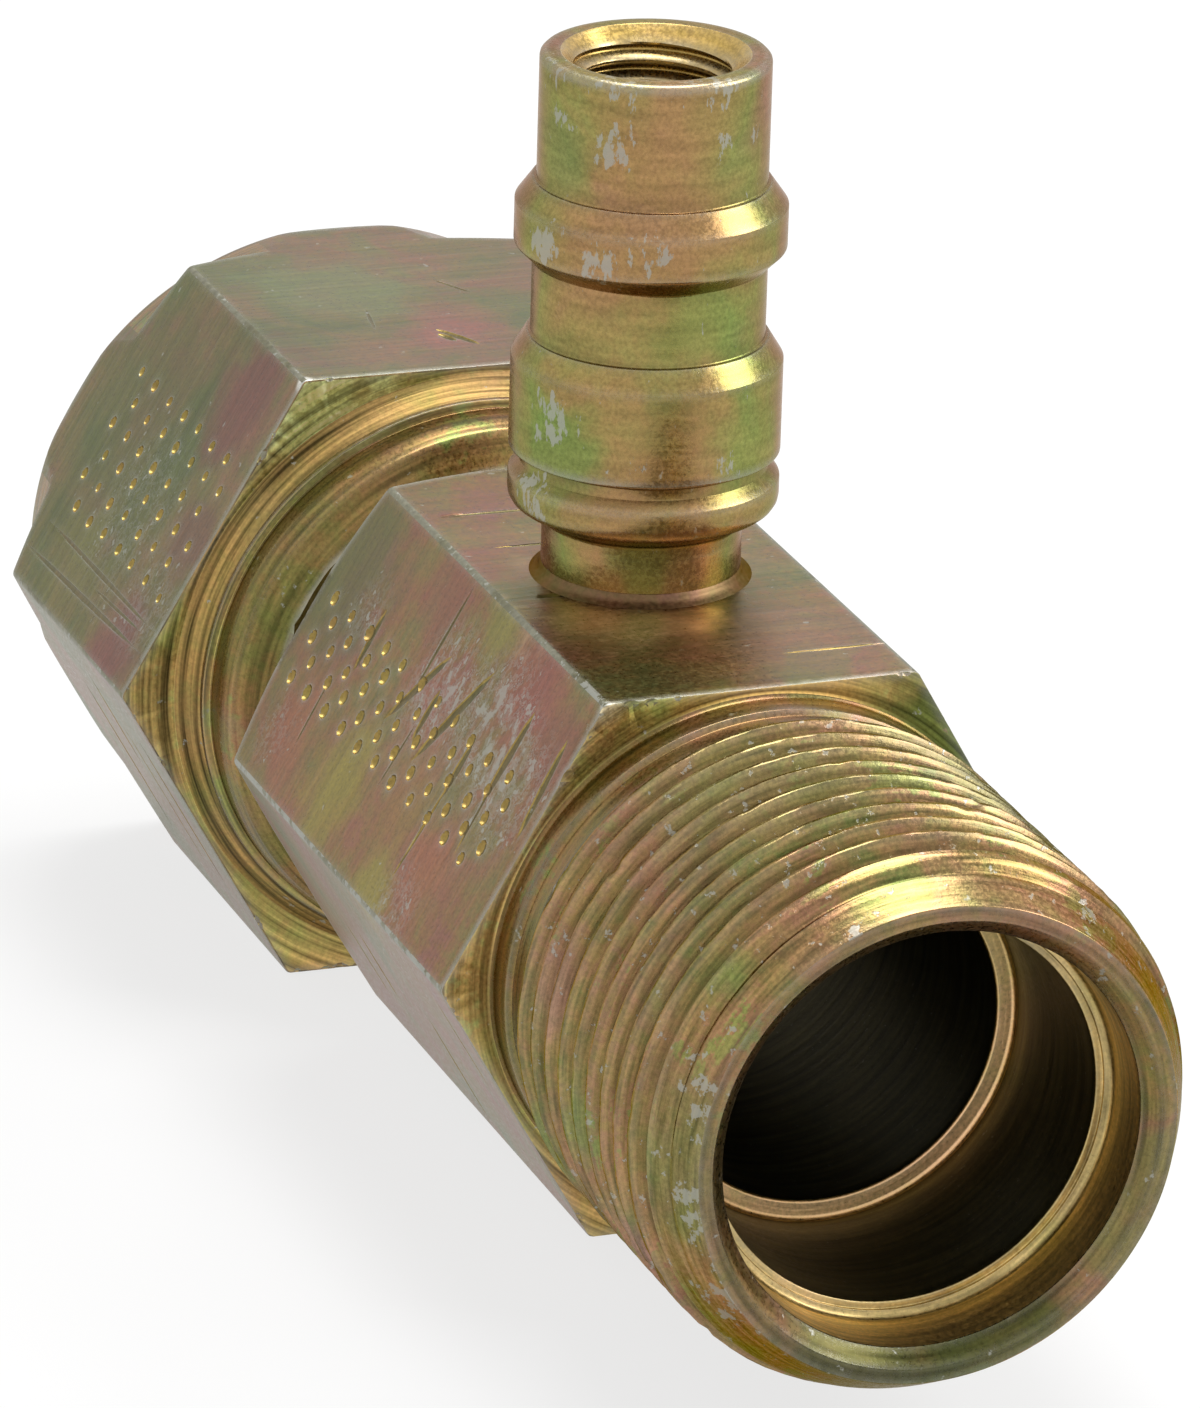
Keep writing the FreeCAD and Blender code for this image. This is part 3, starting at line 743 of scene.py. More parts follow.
def body_hexagon():
    """Hexagon of the body with its rear chamfer, peened marks, scratches, cutter strokes and dings."""
    shell = hexagon_shell("fitting_body_hexagon", HEX_FLATS, HEX_REAR_X, HEX_FRONT_X,
                          turn=0, cuts=40, edge_break=0.2)
    beyond = HEX_FLATS
    rise = (beyond - HEX_REAR_FACE_R) * tan(HEX_REAR_CHAMFER)
    envelope = turned("corner_chamfer", "X", [
        (HEX_REAR_X, 0.0),
        (HEX_REAR_X, HEX_REAR_FACE_R),
        (HEX_REAR_X + rise, beyond),
        (HEX_FRONT_X + 1, beyond),
        (HEX_FRONT_X + 1, 0.0),
    ], 192)
    cut_to(shell, envelope, "INTERSECT")
    half = HEX_FLATS / 2
    marks = peened_pits(half, MARKED_FLAT, [-13.4 + 2.5 * k for k in range(11)],
                        (-1.9, -0.8, 0.3, 1.4, 2.5), spread=2.5, size=0.44, seed=5)
    marks += scratches(half, MARKED_FLAT, [
        (0.5, -4.1, -2.4, 0.6, 0.62, 0.11),
        (5.2, -5.1, 2.2, 1.1, 0.7, 0.12),
        (10.7, -5.1, 10.6, 0.1, 0.7, 0.12),
        (14.9, -5.3, 15.4, -0.1, 0.62, 0.12),
        (6.8, -1.9, 6.8, 1.2, 0.62, 0.11),
        (-7.9, -3.4, -7.8, 0.1, 0.55, 0.1),
        (1.2, -2.5, 1.2, 0.4, 0.55, 0.1),
    ])
    marks += scratches(half, MARKED_FLAT, tool_strokes(8, 5, -11, 15, half))
    for angle, seed in ((30, 21), (-30, 22), (-90, 23), (-150, 24), (90, 25)):
        marks += scratches(half, angle, tool_strokes(seed, 4, -12, 14, half))
    marks += edge_nicks(HEX_FLATS, HEX_FRONT_X, turn=0, count=34, seed=6)
    cut_to(shell, joined("marks", *marks), "DIFFERENCE")
    open_disc(shell, HEX_REAR_X, HEX_FLATS)
    open_disc(shell, HEX_FRONT_X, HEX_FLATS)
    return shell


def cut_port_socket(piece):
    """Cuts the socket for the port's spigot into the body, and the passage from it into the bore."""
    socket = turned("port_socket", "Z", [
        (0.0, 0.0),
        (0.0, CROSS_DRILL_R),
        (PORT_LOW_Z, CROSS_DRILL_R),
        (PORT_LOW_Z, SPIGOT_R + SPIGOT_CLEARANCE),
        (FLAT_Z + 1, SPIGOT_R + SPIGOT_CLEARANCE),
        (FLAT_Z + 1, 0.0),
    ], 64)
    apply_modifier(piece, "BOOLEAN", object=socket, operation="DIFFERENCE", solver="EXACT")
    removed(socket)
    # the cut drops hair-thin faces beside the strokes, whose outlines are filled again
    edit(piece)
    bpy.ops.mesh.fill_holes(sides=4)
    leave()


def fitting_body():
    """Body in one closed mesh, from its turned surface and its hexagon."""
    piece = turned_body()
    shell = body_hexagon()
    piece = joined("fitting_body_detailed", shell, piece)
    fill_ring(piece, "X", HEX_FRONT_X)
    fill_ring(piece, "X", HEX_REAR_X)
    closed(piece)
    cut_port_socket(piece)
    closed(piece)
    return piece


def turned_nut():
    """Turned surface of the nut: inner thread, chamber, rolled lip, collar and its foot."""
    mouth_x = NUT_FAR_X + (NUT_MOUTH_R - NUT_MINOR_R)
    thread_end = mouth_x + NUT_THREAD_LENGTH
    low = NUT_FAR_X + 0.05
    limit = [
        (NUT_FAR_X - 5, NUT_MOUTH_R + 5),
        (NUT_FAR_X, NUT_MOUTH_R),
        (mouth_x, NUT_MINOR_R),
        (thread_end, NUT_MINOR_R),
        (thread_end + 0.9, NUT_RELIEF_R),
        (thread_end + 20, NUT_RELIEF_R),
    ]
    inner_end = thread_end + 1.3
    piece = helical_thread("swivel_nut_turned", "X", THREAD_PITCH, NUT_MINOR_R, NUT_MAJOR_R,
                           low, inner_end, limit, inside=True)
    nicked(piece, "X", NUT_MINOR_R, low, thread_end, depth=0.08, seed=4, inside=True)
    draw_out(piece, "X", low, spaced(rounded([
        (low, NUT_MOUTH_R - 0.05),
        (NUT_FAR_X, NUT_MOUTH_R, 0.03),
        (NUT_FAR_X, NUT_MOUTH_R + 0.4),
    ])))
    lip_flank = BEAD_FRONT_X + NUT_FLOAT
    draw_out(piece, "X", inner_end, spaced(rounded([
        (inner_end, NUT_RELIEF_R),
        (thread_end + 2.4, NUT_RELIEF_R, 0.3),
        (thread_end + 3.5, NUT_CHAMBER_R, 0.3),
        (lip_flank, NUT_CHAMBER_R, 0.15),
        (lip_flank, LIP_R, 0.1),
        (LIP_END_X - 0.3, LIP_R),
        (LIP_END_X - 0.04, 11.84),
        (LIP_END_X, 12.08),
        (LIP_END_X - 0.18, 12.2),
        (LIP_END_X - 0.42, 12.6),
        (LIP_END_X - 1.4, 13.85, 0.3),
        (LIP_END_X - 2.3, COLLAR_R),
        (NUT_NEAR_X + 1.55, COLLAR_R, 0.12),
        (NUT_NEAR_X + 1.55, COLLAR_FOOT_R, 0.08),
        (NUT_NEAR_X + 1.2, COLLAR_FOOT_R, 0.12),
        (NUT_NEAR_X, 15.54, 0.12),
        (NUT_NEAR_X, 15.64),
    ])))
    uneven_lip(piece)
    return piece


def nut_hexagon():
    """Hexagon of the nut with its round nose, peened marks, scratches, cutter strokes and dings."""
    shell = hexagon_shell("swivel_nut_hexagon", NUT_FLATS, NUT_FAR_X, NUT_NEAR_X,
                          turn=NUT_TURN, cuts=36, edge_break=0.17)
    beyond = NUT_FLATS
    cone = (beyond - NUT_NOSE_R) * tan(NUT_CORNER_CONE)
    envelope = turned("nose_outline", "X", rounded([
        (NUT_FAR_X, 0.0),
        (NUT_FAR_X, NUT_NOSE_R - 0.3, 0.8),
        (NUT_NOSE_X, NUT_NOSE_R),
        (NUT_NOSE_X + cone, beyond),
        (NUT_NEAR_X + 1, beyond),
        (NUT_NEAR_X + 1, 0.0),
    ], 5), 192)
    cut_to(shell, envelope, "INTERSECT")
    half = NUT_FLATS / 2
    marked_turn = MARKED_FLAT + NUT_TURN
    marks = peened_pits(half, marked_turn, [-40.6 + 2.3 * k for k in range(7)],
                        (-3.4, -1.9, -0.4, 1.1, 2.6, 4.1), spread=2.3, size=0.36, seed=9)
    marks += scratches(half, marked_turn, [
        (-42.6, 7.5, -24.4, 6.9, 0.34, 0.08),
        (-41.4, 5.7, -24.2, 5.6, 0.3, 0.06),
        (-33.0, 6.4, -25.4, 6.1, 0.2, 0.04),
    ])
    marks += scratches(half, 90 + NUT_TURN, [
        (-26.8, -1.2, -29.6, 0.2, 0.5, 0.1),
        (-27.6, -0.2, -28.9, 0.3, 0.5, 0.12),
        (-30.2, 3.2, -33.5, 2.6, 0.22, 0.04),
        (-34.5, -3.5, -37.0, -2.2, 0.25, 0.04),
    ])
    for angle, seed in ((30, 31), (-30, 32), (-90, 33), (-150, 34)):
        marks += scratches(half, angle + NUT_TURN, tool_strokes(seed, 4, -40, -26, half))
    marks += edge_nicks(NUT_FLATS, NUT_NEAR_X, turn=NUT_TURN, count=26, seed=7)
    cut_to(shell, joined("marks", *marks), "DIFFERENCE")
    open_disc(shell, NUT_FAR_X, NUT_FLATS)
    open_disc(shell, NUT_NEAR_X, NUT_FLATS)
    return shell


def swivel_nut():
    """Nut in one closed mesh, from its turned surface and its hexagon."""
    piece = turned_nut()
    shell = nut_hexagon()
    piece = joined("swivel_nut_detailed", shell, piece)
    fill_ring(piece, "X", NUT_NEAR_X)
    fill_ring(piece, "X", NUT_FAR_X)
    closed(piece)
    return piece


def charge_port():
    """Charge port in one closed mesh: flanges, groove, nick, rounded collar, neck and bores."""
    mouth_z = PORT_TOP_Z - (PORT_MOUTH_R - CAP_MINOR_R)
    thread_low = PORT_TOP_Z - CAP_THREAD_DEPTH
    high = PORT_TOP_Z - PORT_MOUTH_BREAK
    limit = [
        (thread_low - 5, CAP_MINOR_R),
        (mouth_z, CAP_MINOR_R),
        (PORT_TOP_Z, PORT_MOUTH_R),
        (PORT_TOP_Z + 5, PORT_MOUTH_R + 5),
    ]
    piece = helical_thread("charge_port_turned", "Z", CAP_PITCH, CAP_MINOR_R, CAP_MAJOR_R,
                           thread_low, high, limit, inside=True)
    nicked(piece, "Z", CAP_MINOR_R, thread_low, mouth_z, depth=0.06, seed=2, inside=True)
    # down the outside, with heights over the body's flat
    z = FLAT_Z
    draw_out(piece, "Z", high, spaced(rounded([
        (high, PORT_MOUTH_R - PORT_MOUTH_BREAK),
        (PORT_TOP_Z, PORT_MOUTH_R, 0.05),
        (PORT_TOP_Z, PORT_LAND_R, 0.3),
        (z + 19.8, PORT_LAND_R, 0.12),
        (z + 19.8, PORT_LAND_R + 0.2, 0.06),
        (z + 18.7, PORT_FLANGE_R, 0.15),
        (z + 16.65, PORT_FLANGE_R, 0.2),
        (z + 15.75, PORT_WAIST_R, 0.2),
        (z + 12.15, PORT_WAIST_R, 0.12),
        (z + 12.15, PORT_WAIST_R + 0.2, 0.06),
        (z + 11.05, PORT_FLANGE_R, 0.15),
        (z + 6.45, PORT_FLANGE_R, 0.15),
        (z + 6.25, PORT_NICK_R, 0.1),
        (z + 5.7, PORT_NICK_R, 0.1),
        (z + 5.15, PORT_FLANGE_R, 0.2),
        (z + 3.8, PORT_FLANGE_R, 0.8),
        (z + 2.9, PORT_NECK_R, 0.3),
        (z, PORT_NECK_R, 0.3),
        (z, SPIGOT_R, 0.1),
        (PORT_LOW_Z, SPIGOT_R),
    ]), 0.5))
    # down the inside, through the thread and the bore of the valve core to the passage
    draw_out(piece, "Z", thread_low, spaced([
        (thread_low, CAP_MINOR_R),
        (thread_low - 0.5, CORE_THREAD_R),
        (PORT_TOP_Z - 14.6, CORE_THREAD_R),
        (PORT_TOP_Z - 16.6, CORE_BORE_R),
        (PORT_TOP_Z - 27.0, CORE_BORE_R),
        (PORT_TOP_Z - 27.3, CROSS_DRILL_R),
        (PORT_LOW_Z, CROSS_DRILL_R),
    ], 2.0))
    fill_ring(piece, "Z", PORT_LOW_Z)
    closed(piece)
    piece.name = "charge_port_detailed"
    piece.data.name = piece.name
    return piece


def linear(code):
    """Linear light colour of an sRGB hex code."""
    channels = []
    for k in (1, 3, 5):
        value = int(code[k:k + 2], 16) / 255
        channels.append(value / 12.92 if value <= 0.04045 else ((value + 0.055) / 1.055) ** 2.4)
    return (*channels, 1.0)


def node(tree, kind, inputs=(), output=0, stops=(), **settings):
    """Adds a node with its settings, its ramp stops and its input values or links, and gives one output."""
    made = tree.nodes.new("ShaderNode" + kind)
    for name, value in settings.items():
        setattr(made, name, value)
    for name, value in dict(inputs).items():
        if isinstance(value, bpy.types.NodeSocket):
            tree.links.new(value, made.inputs[name])
        else:
            made.inputs[name].default_value = value
    if stops:
        elements = made.color_ramp.elements
        elements[0].position = stops[0][0]
        elements[1].position = stops[-1][0]
        for place, _colour in stops[1:-1]:
            elements.new(place)
        for element, (_place, colour) in zip(elements, stops):
            element.color = linear(colour)
    return made.outputs[output]


def evenly(low, high, colours):
    """Ramp stops that spread a list of colours evenly from low to high."""
    gap = (high - low) / (len(colours) - 1)
    return [(low + k * gap, colour) for k, colour in enumerate(colours)]


def new_material(name):
    """A metal material with its tree, its shader, and a place vector in millimetres of the object."""
    material = bpy.data.materials.new(name)
    material.use_nodes = True
    tree = material.node_tree
    shader = tree.nodes["Principled BSDF"]
    shader.inputs["Metallic"].default_value = 1
    place = node(tree, "TexCoord", output=3)
    spot = node(tree, "VectorMath", {0: place, 3: 1000.0}, operation="SCALE")
    return material, tree, shader, spot


def lathe_grain(tree, spot, axis, pitch, drift):
    """Noise drawn out into rings about an axis: fast along it and across it, slow round it."""
    keep = (0, 1, 1) if axis == "X" else (1, 1, 0)
    lift = (1, 0, 0) if axis == "X" else (0, 0, 1)
    spoke = node(tree, "VectorMath", {0: spot, 1: keep}, operation="MULTIPLY")
    radius = node(tree, "VectorMath", {0: spoke}, output=1, operation="LENGTH")
    round_it = node(tree, "VectorMath", {0: spoke}, operation="NORMALIZE")
    slow = node(tree, "VectorMath", {0: round_it, 3: drift}, operation="SCALE")
    rise = node(tree, "VectorMath", {0: spot, 1: lift}, operation="MULTIPLY")
    fast = node(tree, "VectorMath", {0: rise, 3: 1 / pitch}, operation="SCALE")
    place = node(tree, "VectorMath", {0: slow, 1: fast}, operation="ADD")
    outward = node(tree, "Math", {0: radius, 1: 1 / pitch}, operation="MULTIPLY")
    return node(tree, "TexNoise", {"Vector": place, "W": outward, "Scale": 1.0, "Detail": 2.0},
                noise_dimensions="4D")


def mill_grain(tree, spot, pitch):
    """Noise drawn out into lines that run across the flats, as a face mill leaves them."""
    place = node(tree, "VectorMath", {0: spot, 1: (1 / pitch, 0.12, 0.12)}, operation="MULTIPLY")
    return node(tree, "TexNoise", {"Vector": place, "Scale": 1.0, "Detail": 2.0})


def chromate(name, axis, tones, veil, pitch=0.4, lines=0.35, chips=0.66, chip_stretch=(1, 1, 1),
             chip_share=0.6, scuffs=(), wear=0.35, hollow_shade=0.75, stains_and_painted_light=(), sides=(), rough=0.3, relief=0.5,
             streak=1.6, tint=0.15, rugged=0.5, glance="#FFFFFF"):
    """Yellow chromate over zinc: soft iridescent patches, tool marks, grain, chips, worn edges, and painted
    light and shade.

    tones and veil are the colours of two films, pitch the spacing of the tool marks in millimetres,
    lines the contrast of the light and shade painted along them, chips the noise value above which the
    zinc lies bare, and chip_share how bare. scuffs are (place, radius, boost) and
    stains_and_painted_light (place, radius, colour, strength), with places in millimetres: stains, and
    patches of painted highlight and painted shade. hollow_shade sets the painted shade in hollows, and
    sides the tints of a painted interference colour that changes with the turn from the
    camera's side. streak draws the tool marks out, tint lets them shift the film, and rugged and relief
    set the roughness of the relief. glance is the colour of the light reflected at a grazing angle.
    """
    material, tree, shader, spot = new_material(name)
    shader.inputs["Specular Tint"].default_value = linear(glance)
    if axis == "FLAT":
        marks = mill_grain(tree, spot, pitch)
    else:
        marks = lathe_grain(tree, spot, axis, pitch, streak)
    broken = node(tree, "TexNoise", {"Vector": spot, "Scale": 1.3, "Detail": 4.0, "Roughness": 0.65})
    cloud = node(tree, "TexNoise", {"Vector": spot, "Scale": 0.17, "Detail": 3.0, "Roughness": 0.5,
                                    "Distortion": 0.4})
    # patches of film thickness show as the drift from grey-green over gold to copper and pink, and
    # the tool marks and the grain beneath shift it a little from line to line
    film = node(tree, "Math", {0: broken, 1: 0.45, 2: cloud}, operation="MULTIPLY_ADD")
    film = node(tree, "Math", {0: marks, 1: tint, 2: film}, operation="MULTIPLY_ADD")
    middle = 0.725 + tint / 2
    colour = node(tree, "ValToRGB", {0: film}, stops=evenly(middle - 0.2, middle + 0.2, tones))
    second = node(tree, "VectorMath", {0: spot, 1: (31.0, 17.0, 5.0)}, operation="ADD")
    drift = node(tree, "TexNoise", {"Vector": second, "Scale": 0.12, "Detail": 4.0, "Roughness": 0.55,
                                    "Distortion": 0.3})
    other = node(tree, "ValToRGB", {0: drift}, stops=evenly(0.34, 0.66, veil))
    # a second film drifts over the first, so that the patches overlap and don't end sharply
    share = node(tree, "MapRange", {0: drift, 1: 0.42, 2: 0.6, 3: 0.15, 4: 0.7})
    colour = node(tree, "Mix", {0: share, 6: colour, 7: other}, output=2, data_type="RGBA")
    if sides:
        # painted interference colour: upright bands go round the port, with tints set by the turn from the
        # side that faces the camera, as the film's colour shifts with the angle of view
        flat = node(tree, "VectorMath", {0: spot, 1: (1, 1, 0)}, operation="MULTIPLY")
        round_it = node(tree, "VectorMath", {0: flat}, operation="NORMALIZE")
        turn = node(tree, "VectorMath", {0: round_it, 1: (0.935, -0.354, 0)}, output=1,
                    operation="DOT_PRODUCT")
        turn = node(tree, "Math", {0: cloud, 1: 1.5, 2: turn}, operation="MULTIPLY_ADD")
        facing_band = node(tree, "MapRange", {0: turn, 1: -0.25, 2: 1.75})
        facing_band = node(tree, "ValToRGB", {0: facing_band}, stops=evenly(0, 1, sides))
        colour = node(tree, "Mix", {0: 0.62, 6: colour, 7: facing_band}, output=2, data_type="RGBA")
    wobble = node(tree, "TexNoise", {"Vector": spot, "Scale": 0.45, "Detail": 4.0})
    for centre, radius, patch_colour, strength in stains_and_painted_light:
        # single larger patches stand where the real plating shows them; others are painted light: lighter
        # patches for painted highlights and sheen, darker ones for painted shade
        away = node(tree, "VectorMath", {0: spot, 1: centre}, output=1, operation="DISTANCE")
        edge = node(tree, "Math", {0: wobble, 1: radius * 1.5, 2: away}, operation="MULTIPLY_ADD")
        share = node(tree, "MapRange", {0: edge, 1: radius * 2.05, 2: radius * 1.1, 3: 0.0, 4: strength},
                     interpolation_type="SMOOTHSTEP")
        colour = node(tree, "Mix", {0: share, 6: colour, 7: linear(patch_colour)}, output=2, data_type="RGBA")

    # painted light and shade: the colour is lightened and darkened along the tool marks, as they catch
    # light and shade along the turning or milling direction
    tone = node(tree, "MapRange", {0: marks, 1: 0.3, 2: 0.7, 3: 1 - lines, 4: 1 + lines})
    colour = node(tree, "VectorMath", {0: colour, 3: tone}, operation="SCALE")
    # crystal grain of the zinc, drawn coarser than its real hundredths of a millimetre
    grain = node(tree, "TexNoise", {"Vector": spot, "Scale": 5.0, "Detail": 2.0, "Roughness": 0.6})
    tone = node(tree, "MapRange", {0: grain, 1: 0.3, 2: 0.7, 3: 0.8, 4: 1.2})
    colour = node(tree, "VectorMath", {0: colour, 3: tone}, operation="SCALE")

    if hollow_shade:
        # painted shade: ambient occlusion darkens the colour in corners, grooves, thread roots and marks,
        # to give them depth
        hollow = node(tree, "AmbientOcclusion", {"Distance": 0.0012}, output=1, samples=2, only_local=True)
        shade_share = node(tree, "MapRange", {0: hollow, 1: 0.3, 2: 0.85, 3: hollow_shade, 4: 0.0})
        colour = node(tree, "Mix", {0: shade_share, 6: colour, 7: linear("#352A15")}, output=2, data_type="RGBA")

    # film broken by drips and knocks shows the pale zinc in ragged chips
    drawn = node(tree, "VectorMath", {0: spot, 1: chip_stretch}, operation="MULTIPLY")
    flake = node(tree, "TexNoise", {"Vector": drawn, "Scale": 1.1, "Detail": 5.0, "Roughness": 0.62})
    plain = flake
    for centre, radius, boost in scuffs:
        # knocked places carry more chips than the rest
        away = node(tree, "VectorMath", {0: spot, 1: centre}, output=1, operation="DISTANCE")
        more = node(tree, "MapRange", {0: away, 1: 0.3 * radius, 2: radius, 3: boost, 4: 0.0})
        flake = node(tree, "Math", {0: flake, 1: more}, operation="ADD")
    bare = node(tree, "MapRange", {0: flake, 1: chips, 2: chips + 0.03, 3: 0.0, 4: chip_share})
    if axis == "FLAT":
        # hair-thin curved scuffs stand where the flats were knocked
        curve = node(tree, "Math", {0: plain, 1: 0.5, 2: 0.03}, operation="COMPARE")
        zone = node(tree, "Math", {0: flake, 1: plain}, operation="SUBTRACT")
        zone = node(tree, "MapRange", {0: zone, 1: 0.02, 2: 0.1, 3: 0.0, 4: chip_share})
        curve = node(tree, "Math", {0: curve, 1: zone}, operation="MULTIPLY")
        curve = node(tree, "Math", {0: curve, 1: broken}, operation="MULTIPLY")
        bare = node(tree, "Math", {0: bare, 1: curve}, operation="MAXIMUM")
    if wear:
        # film rubbed thin along the edges lets the zinc shine through
        solid = node(tree, "AmbientOcclusion", {"Distance": 0.0006}, output=1, samples=2, inside=True,
                     only_local=True)
        rub = node(tree, "MapRange", {0: solid, 1: 0.97, 2: 0.72, 3: 0.0, 4: wear * 2.2})
        rub = node(tree, "Math", {0: rub, 1: broken}, operation="MULTIPLY", use_clamp=True)
        bare = node(tree, "Math", {0: bare, 1: rub}, operation="MAXIMUM")
    colour = node(tree, "Mix", {0: bare, 6: colour, 7: linear("#A9AAA2")}, output=2, data_type="RGBA")
    tree.links.new(colour, shader.inputs["Base Color"])

    gloss = node(tree, "MapRange", {0: grain, 1: 0.3, 2: 0.7, 3: rough - 0.07, 4: rough + 0.08})
    gloss = node(tree, "Math", {0: bare, 1: 0.12, 2: gloss}, operation="MULTIPLY_ADD")
    tree.links.new(gloss, shader.inputs["Roughness"])
    height = node(tree, "Math", {0: grain, 1: 0.35, 2: marks}, operation="MULTIPLY_ADD")
    height = node(tree, "Math", {0: broken, 1: rugged, 2: height}, operation="MULTIPLY_ADD")
    height = node(tree, "Math", {0: bare, 1: -0.6, 2: height}, operation="MULTIPLY_ADD")
    bump = node(tree, "Bump", {"Strength": relief, "Distance": 0.00003, "Height": height})
    tree.links.new(bump, shader.inputs["Normal"])
    return material


def plain_metal(name, light, dark, rough, pitch, axis="Z"):
    """Bare turned metal: rings of light and dark, and a fine grain in the gloss."""
    material, tree, shader, spot = new_material(name)
    marks = lathe_grain(tree, spot, axis, pitch, 2.0)
    colour = node(tree, "ValToRGB", {0: marks}, stops=evenly(0.3, 0.7, (dark, light)))
    tree.links.new(colour, shader.inputs["Base Color"])
    gloss = node(tree, "MapRange", {0: marks, 1: 0.3, 2: 0.7, 3: rough - 0.06, 4: rough + 0.08})
    tree.links.new(gloss, shader.inputs["Roughness"])
    relief = node(tree, "Bump", {"Strength": 0.4, "Distance": 0.00001, "Height": marks})
    tree.links.new(relief, shader.inputs["Normal"])
    return material


def rubber(name, light, dark, rough, scale):
    """Moulded seal: a slightly cloudy colour with a fine, soft skin."""
    material, tree, shader, spot = new_material(name)
    shader.inputs["Metallic"].default_value = 0
    skin = node(tree, "TexNoise", {"Vector": spot, "Scale": scale, "Detail": 4.0})
    colour = node(tree, "ValToRGB", {0: skin}, stops=evenly(0.3, 0.7, (dark, light)))
    tree.links.new(colour, shader.inputs["Base Color"])
    gloss = node(tree, "MapRange", {0: skin, 1: 0.3, 2: 0.7, 3: rough - 0.06, 4: rough + 0.1})
    tree.links.new(gloss, shader.inputs["Roughness"])
    relief = node(tree, "Bump", {"Strength": 0.3, "Distance": 0.00002, "Height": skin})
    tree.links.new(relief, shader.inputs["Normal"])
    return material


def braze_fillet():
    """Fillet of plated braze round the port's neck, with a soft outer rim."""
    leg = BRAZE_LEG
    piece = turned("braze_ring_detailed", "Z", [
        (FLAT_Z, PORT_NECK_R),
        (FLAT_Z, PORT_NECK_R + leg),
        (FLAT_Z + 0.05, PORT_NECK_R + leg * 0.86),
        (FLAT_Z + 0.13, PORT_NECK_R + leg * 0.62),
        (FLAT_Z + 0.24, PORT_NECK_R + leg * 0.36),
        (FLAT_Z + 0.38, PORT_NECK_R + leg * 0.16),
        (FLAT_Z + 0.53, PORT_NECK_R + leg * 0.05),
        (FLAT_Z + leg, PORT_NECK_R),
        (FLAT_Z, PORT_NECK_R),
    ], 96)
    closed(piece)
    return piece


def pilot_o_ring():
    """O-ring in the pilot's groove, with the fine parting line of its mould."""
    middle = (GROOVE_END_X + BEAD_REAR_X) / 2
    centre_r = GROOVE_R + RING_SECTION_R
    section = []
    for k in range(28):
        angle = math.tau * k / 28
        bulge = RING_SECTION_R - (0.0 if k in (0, 14) else 0.025)
        section.append((middle + bulge * math.sin(angle), centre_r + bulge * math.cos(angle)))
    piece = turned("pilot_o_ring_detailed", "X", section + section[:1], 120)
    closed(piece)
    return piece


def core_spring():
    """Return spring of the valve core, wound from round wire."""
    clear_selection()
    bpy.ops.mesh.primitive_circle_add(vertices=10, radius=SPRING_WIRE_R, fill_type="NOTHING",
                                      location=(SPRING_MEAN_R, 0, 0), rotation=(math.pi / 2, 0, 0))
    piece = bpy.context.object
    piece.name = "core_spring_wound"
    bpy.ops.object.transform_apply(location=True, rotation=True, scale=True)
    rise = (SPRING_HIGH.z - SPRING_LOW.z - 2 * SPRING_WIRE_R - 0.02) / SPRING_TURNS
    apply_modifier(piece, "SCREW", axis="Z", angle=math.tau, screw_offset=rise, iterations=SPRING_TURNS,
                   steps=28, render_steps=28, use_smooth_shade=True)
    edit(piece)
    bpy.ops.mesh.remove_doubles(threshold=SAME_POINT)
    select_edges(piece, lambda edge: edge.is_boundary)
    bpy.ops.mesh.edge_face_add()
    leave()
    piece.data.transform(Matrix.Translation((0, 0, SPRING_LOW.z + SPRING_WIRE_R + 0.01)))
    closed(piece)
    return piece


OLIVES = ("#646A44", "#746E46", "#826C46", "#886148", "#8A5A54")
VEILS = ("#6E7A40", "#7A7242", "#866C48", "#8C6250", "#7A7048")
GREYS = ("#565E3C", "#606442", "#6A6642", "#706446", "#765A4A")


def marked(flats, turn, place, down):
    """Place of a stain on the flat that carries the peened marks."""
    return tuple(on_flat(MARKED_FLAT + turn, flats / 2, place, down)[0])


def on_port(radius, azimuth, height):
    """Place of a scuff on the port, at an angle round its axis from +X towards +Y."""
    turn = math.radians(azimuth)
    return (radius * math.cos(turn), radius * math.sin(turn), height)


# front corners of the two hexagons, where near-white patches are painted highlights for the lamps' glints
BODY_GLINT_CORNER = (HEX_FRONT_X, -HEX_FLATS / math.sqrt(12), FLAT_Z)
NUT_GLINT_CORNER = (NUT_NEAR_X, -NUT_FLATS / math.sqrt(12), NUT_FLATS / 2)

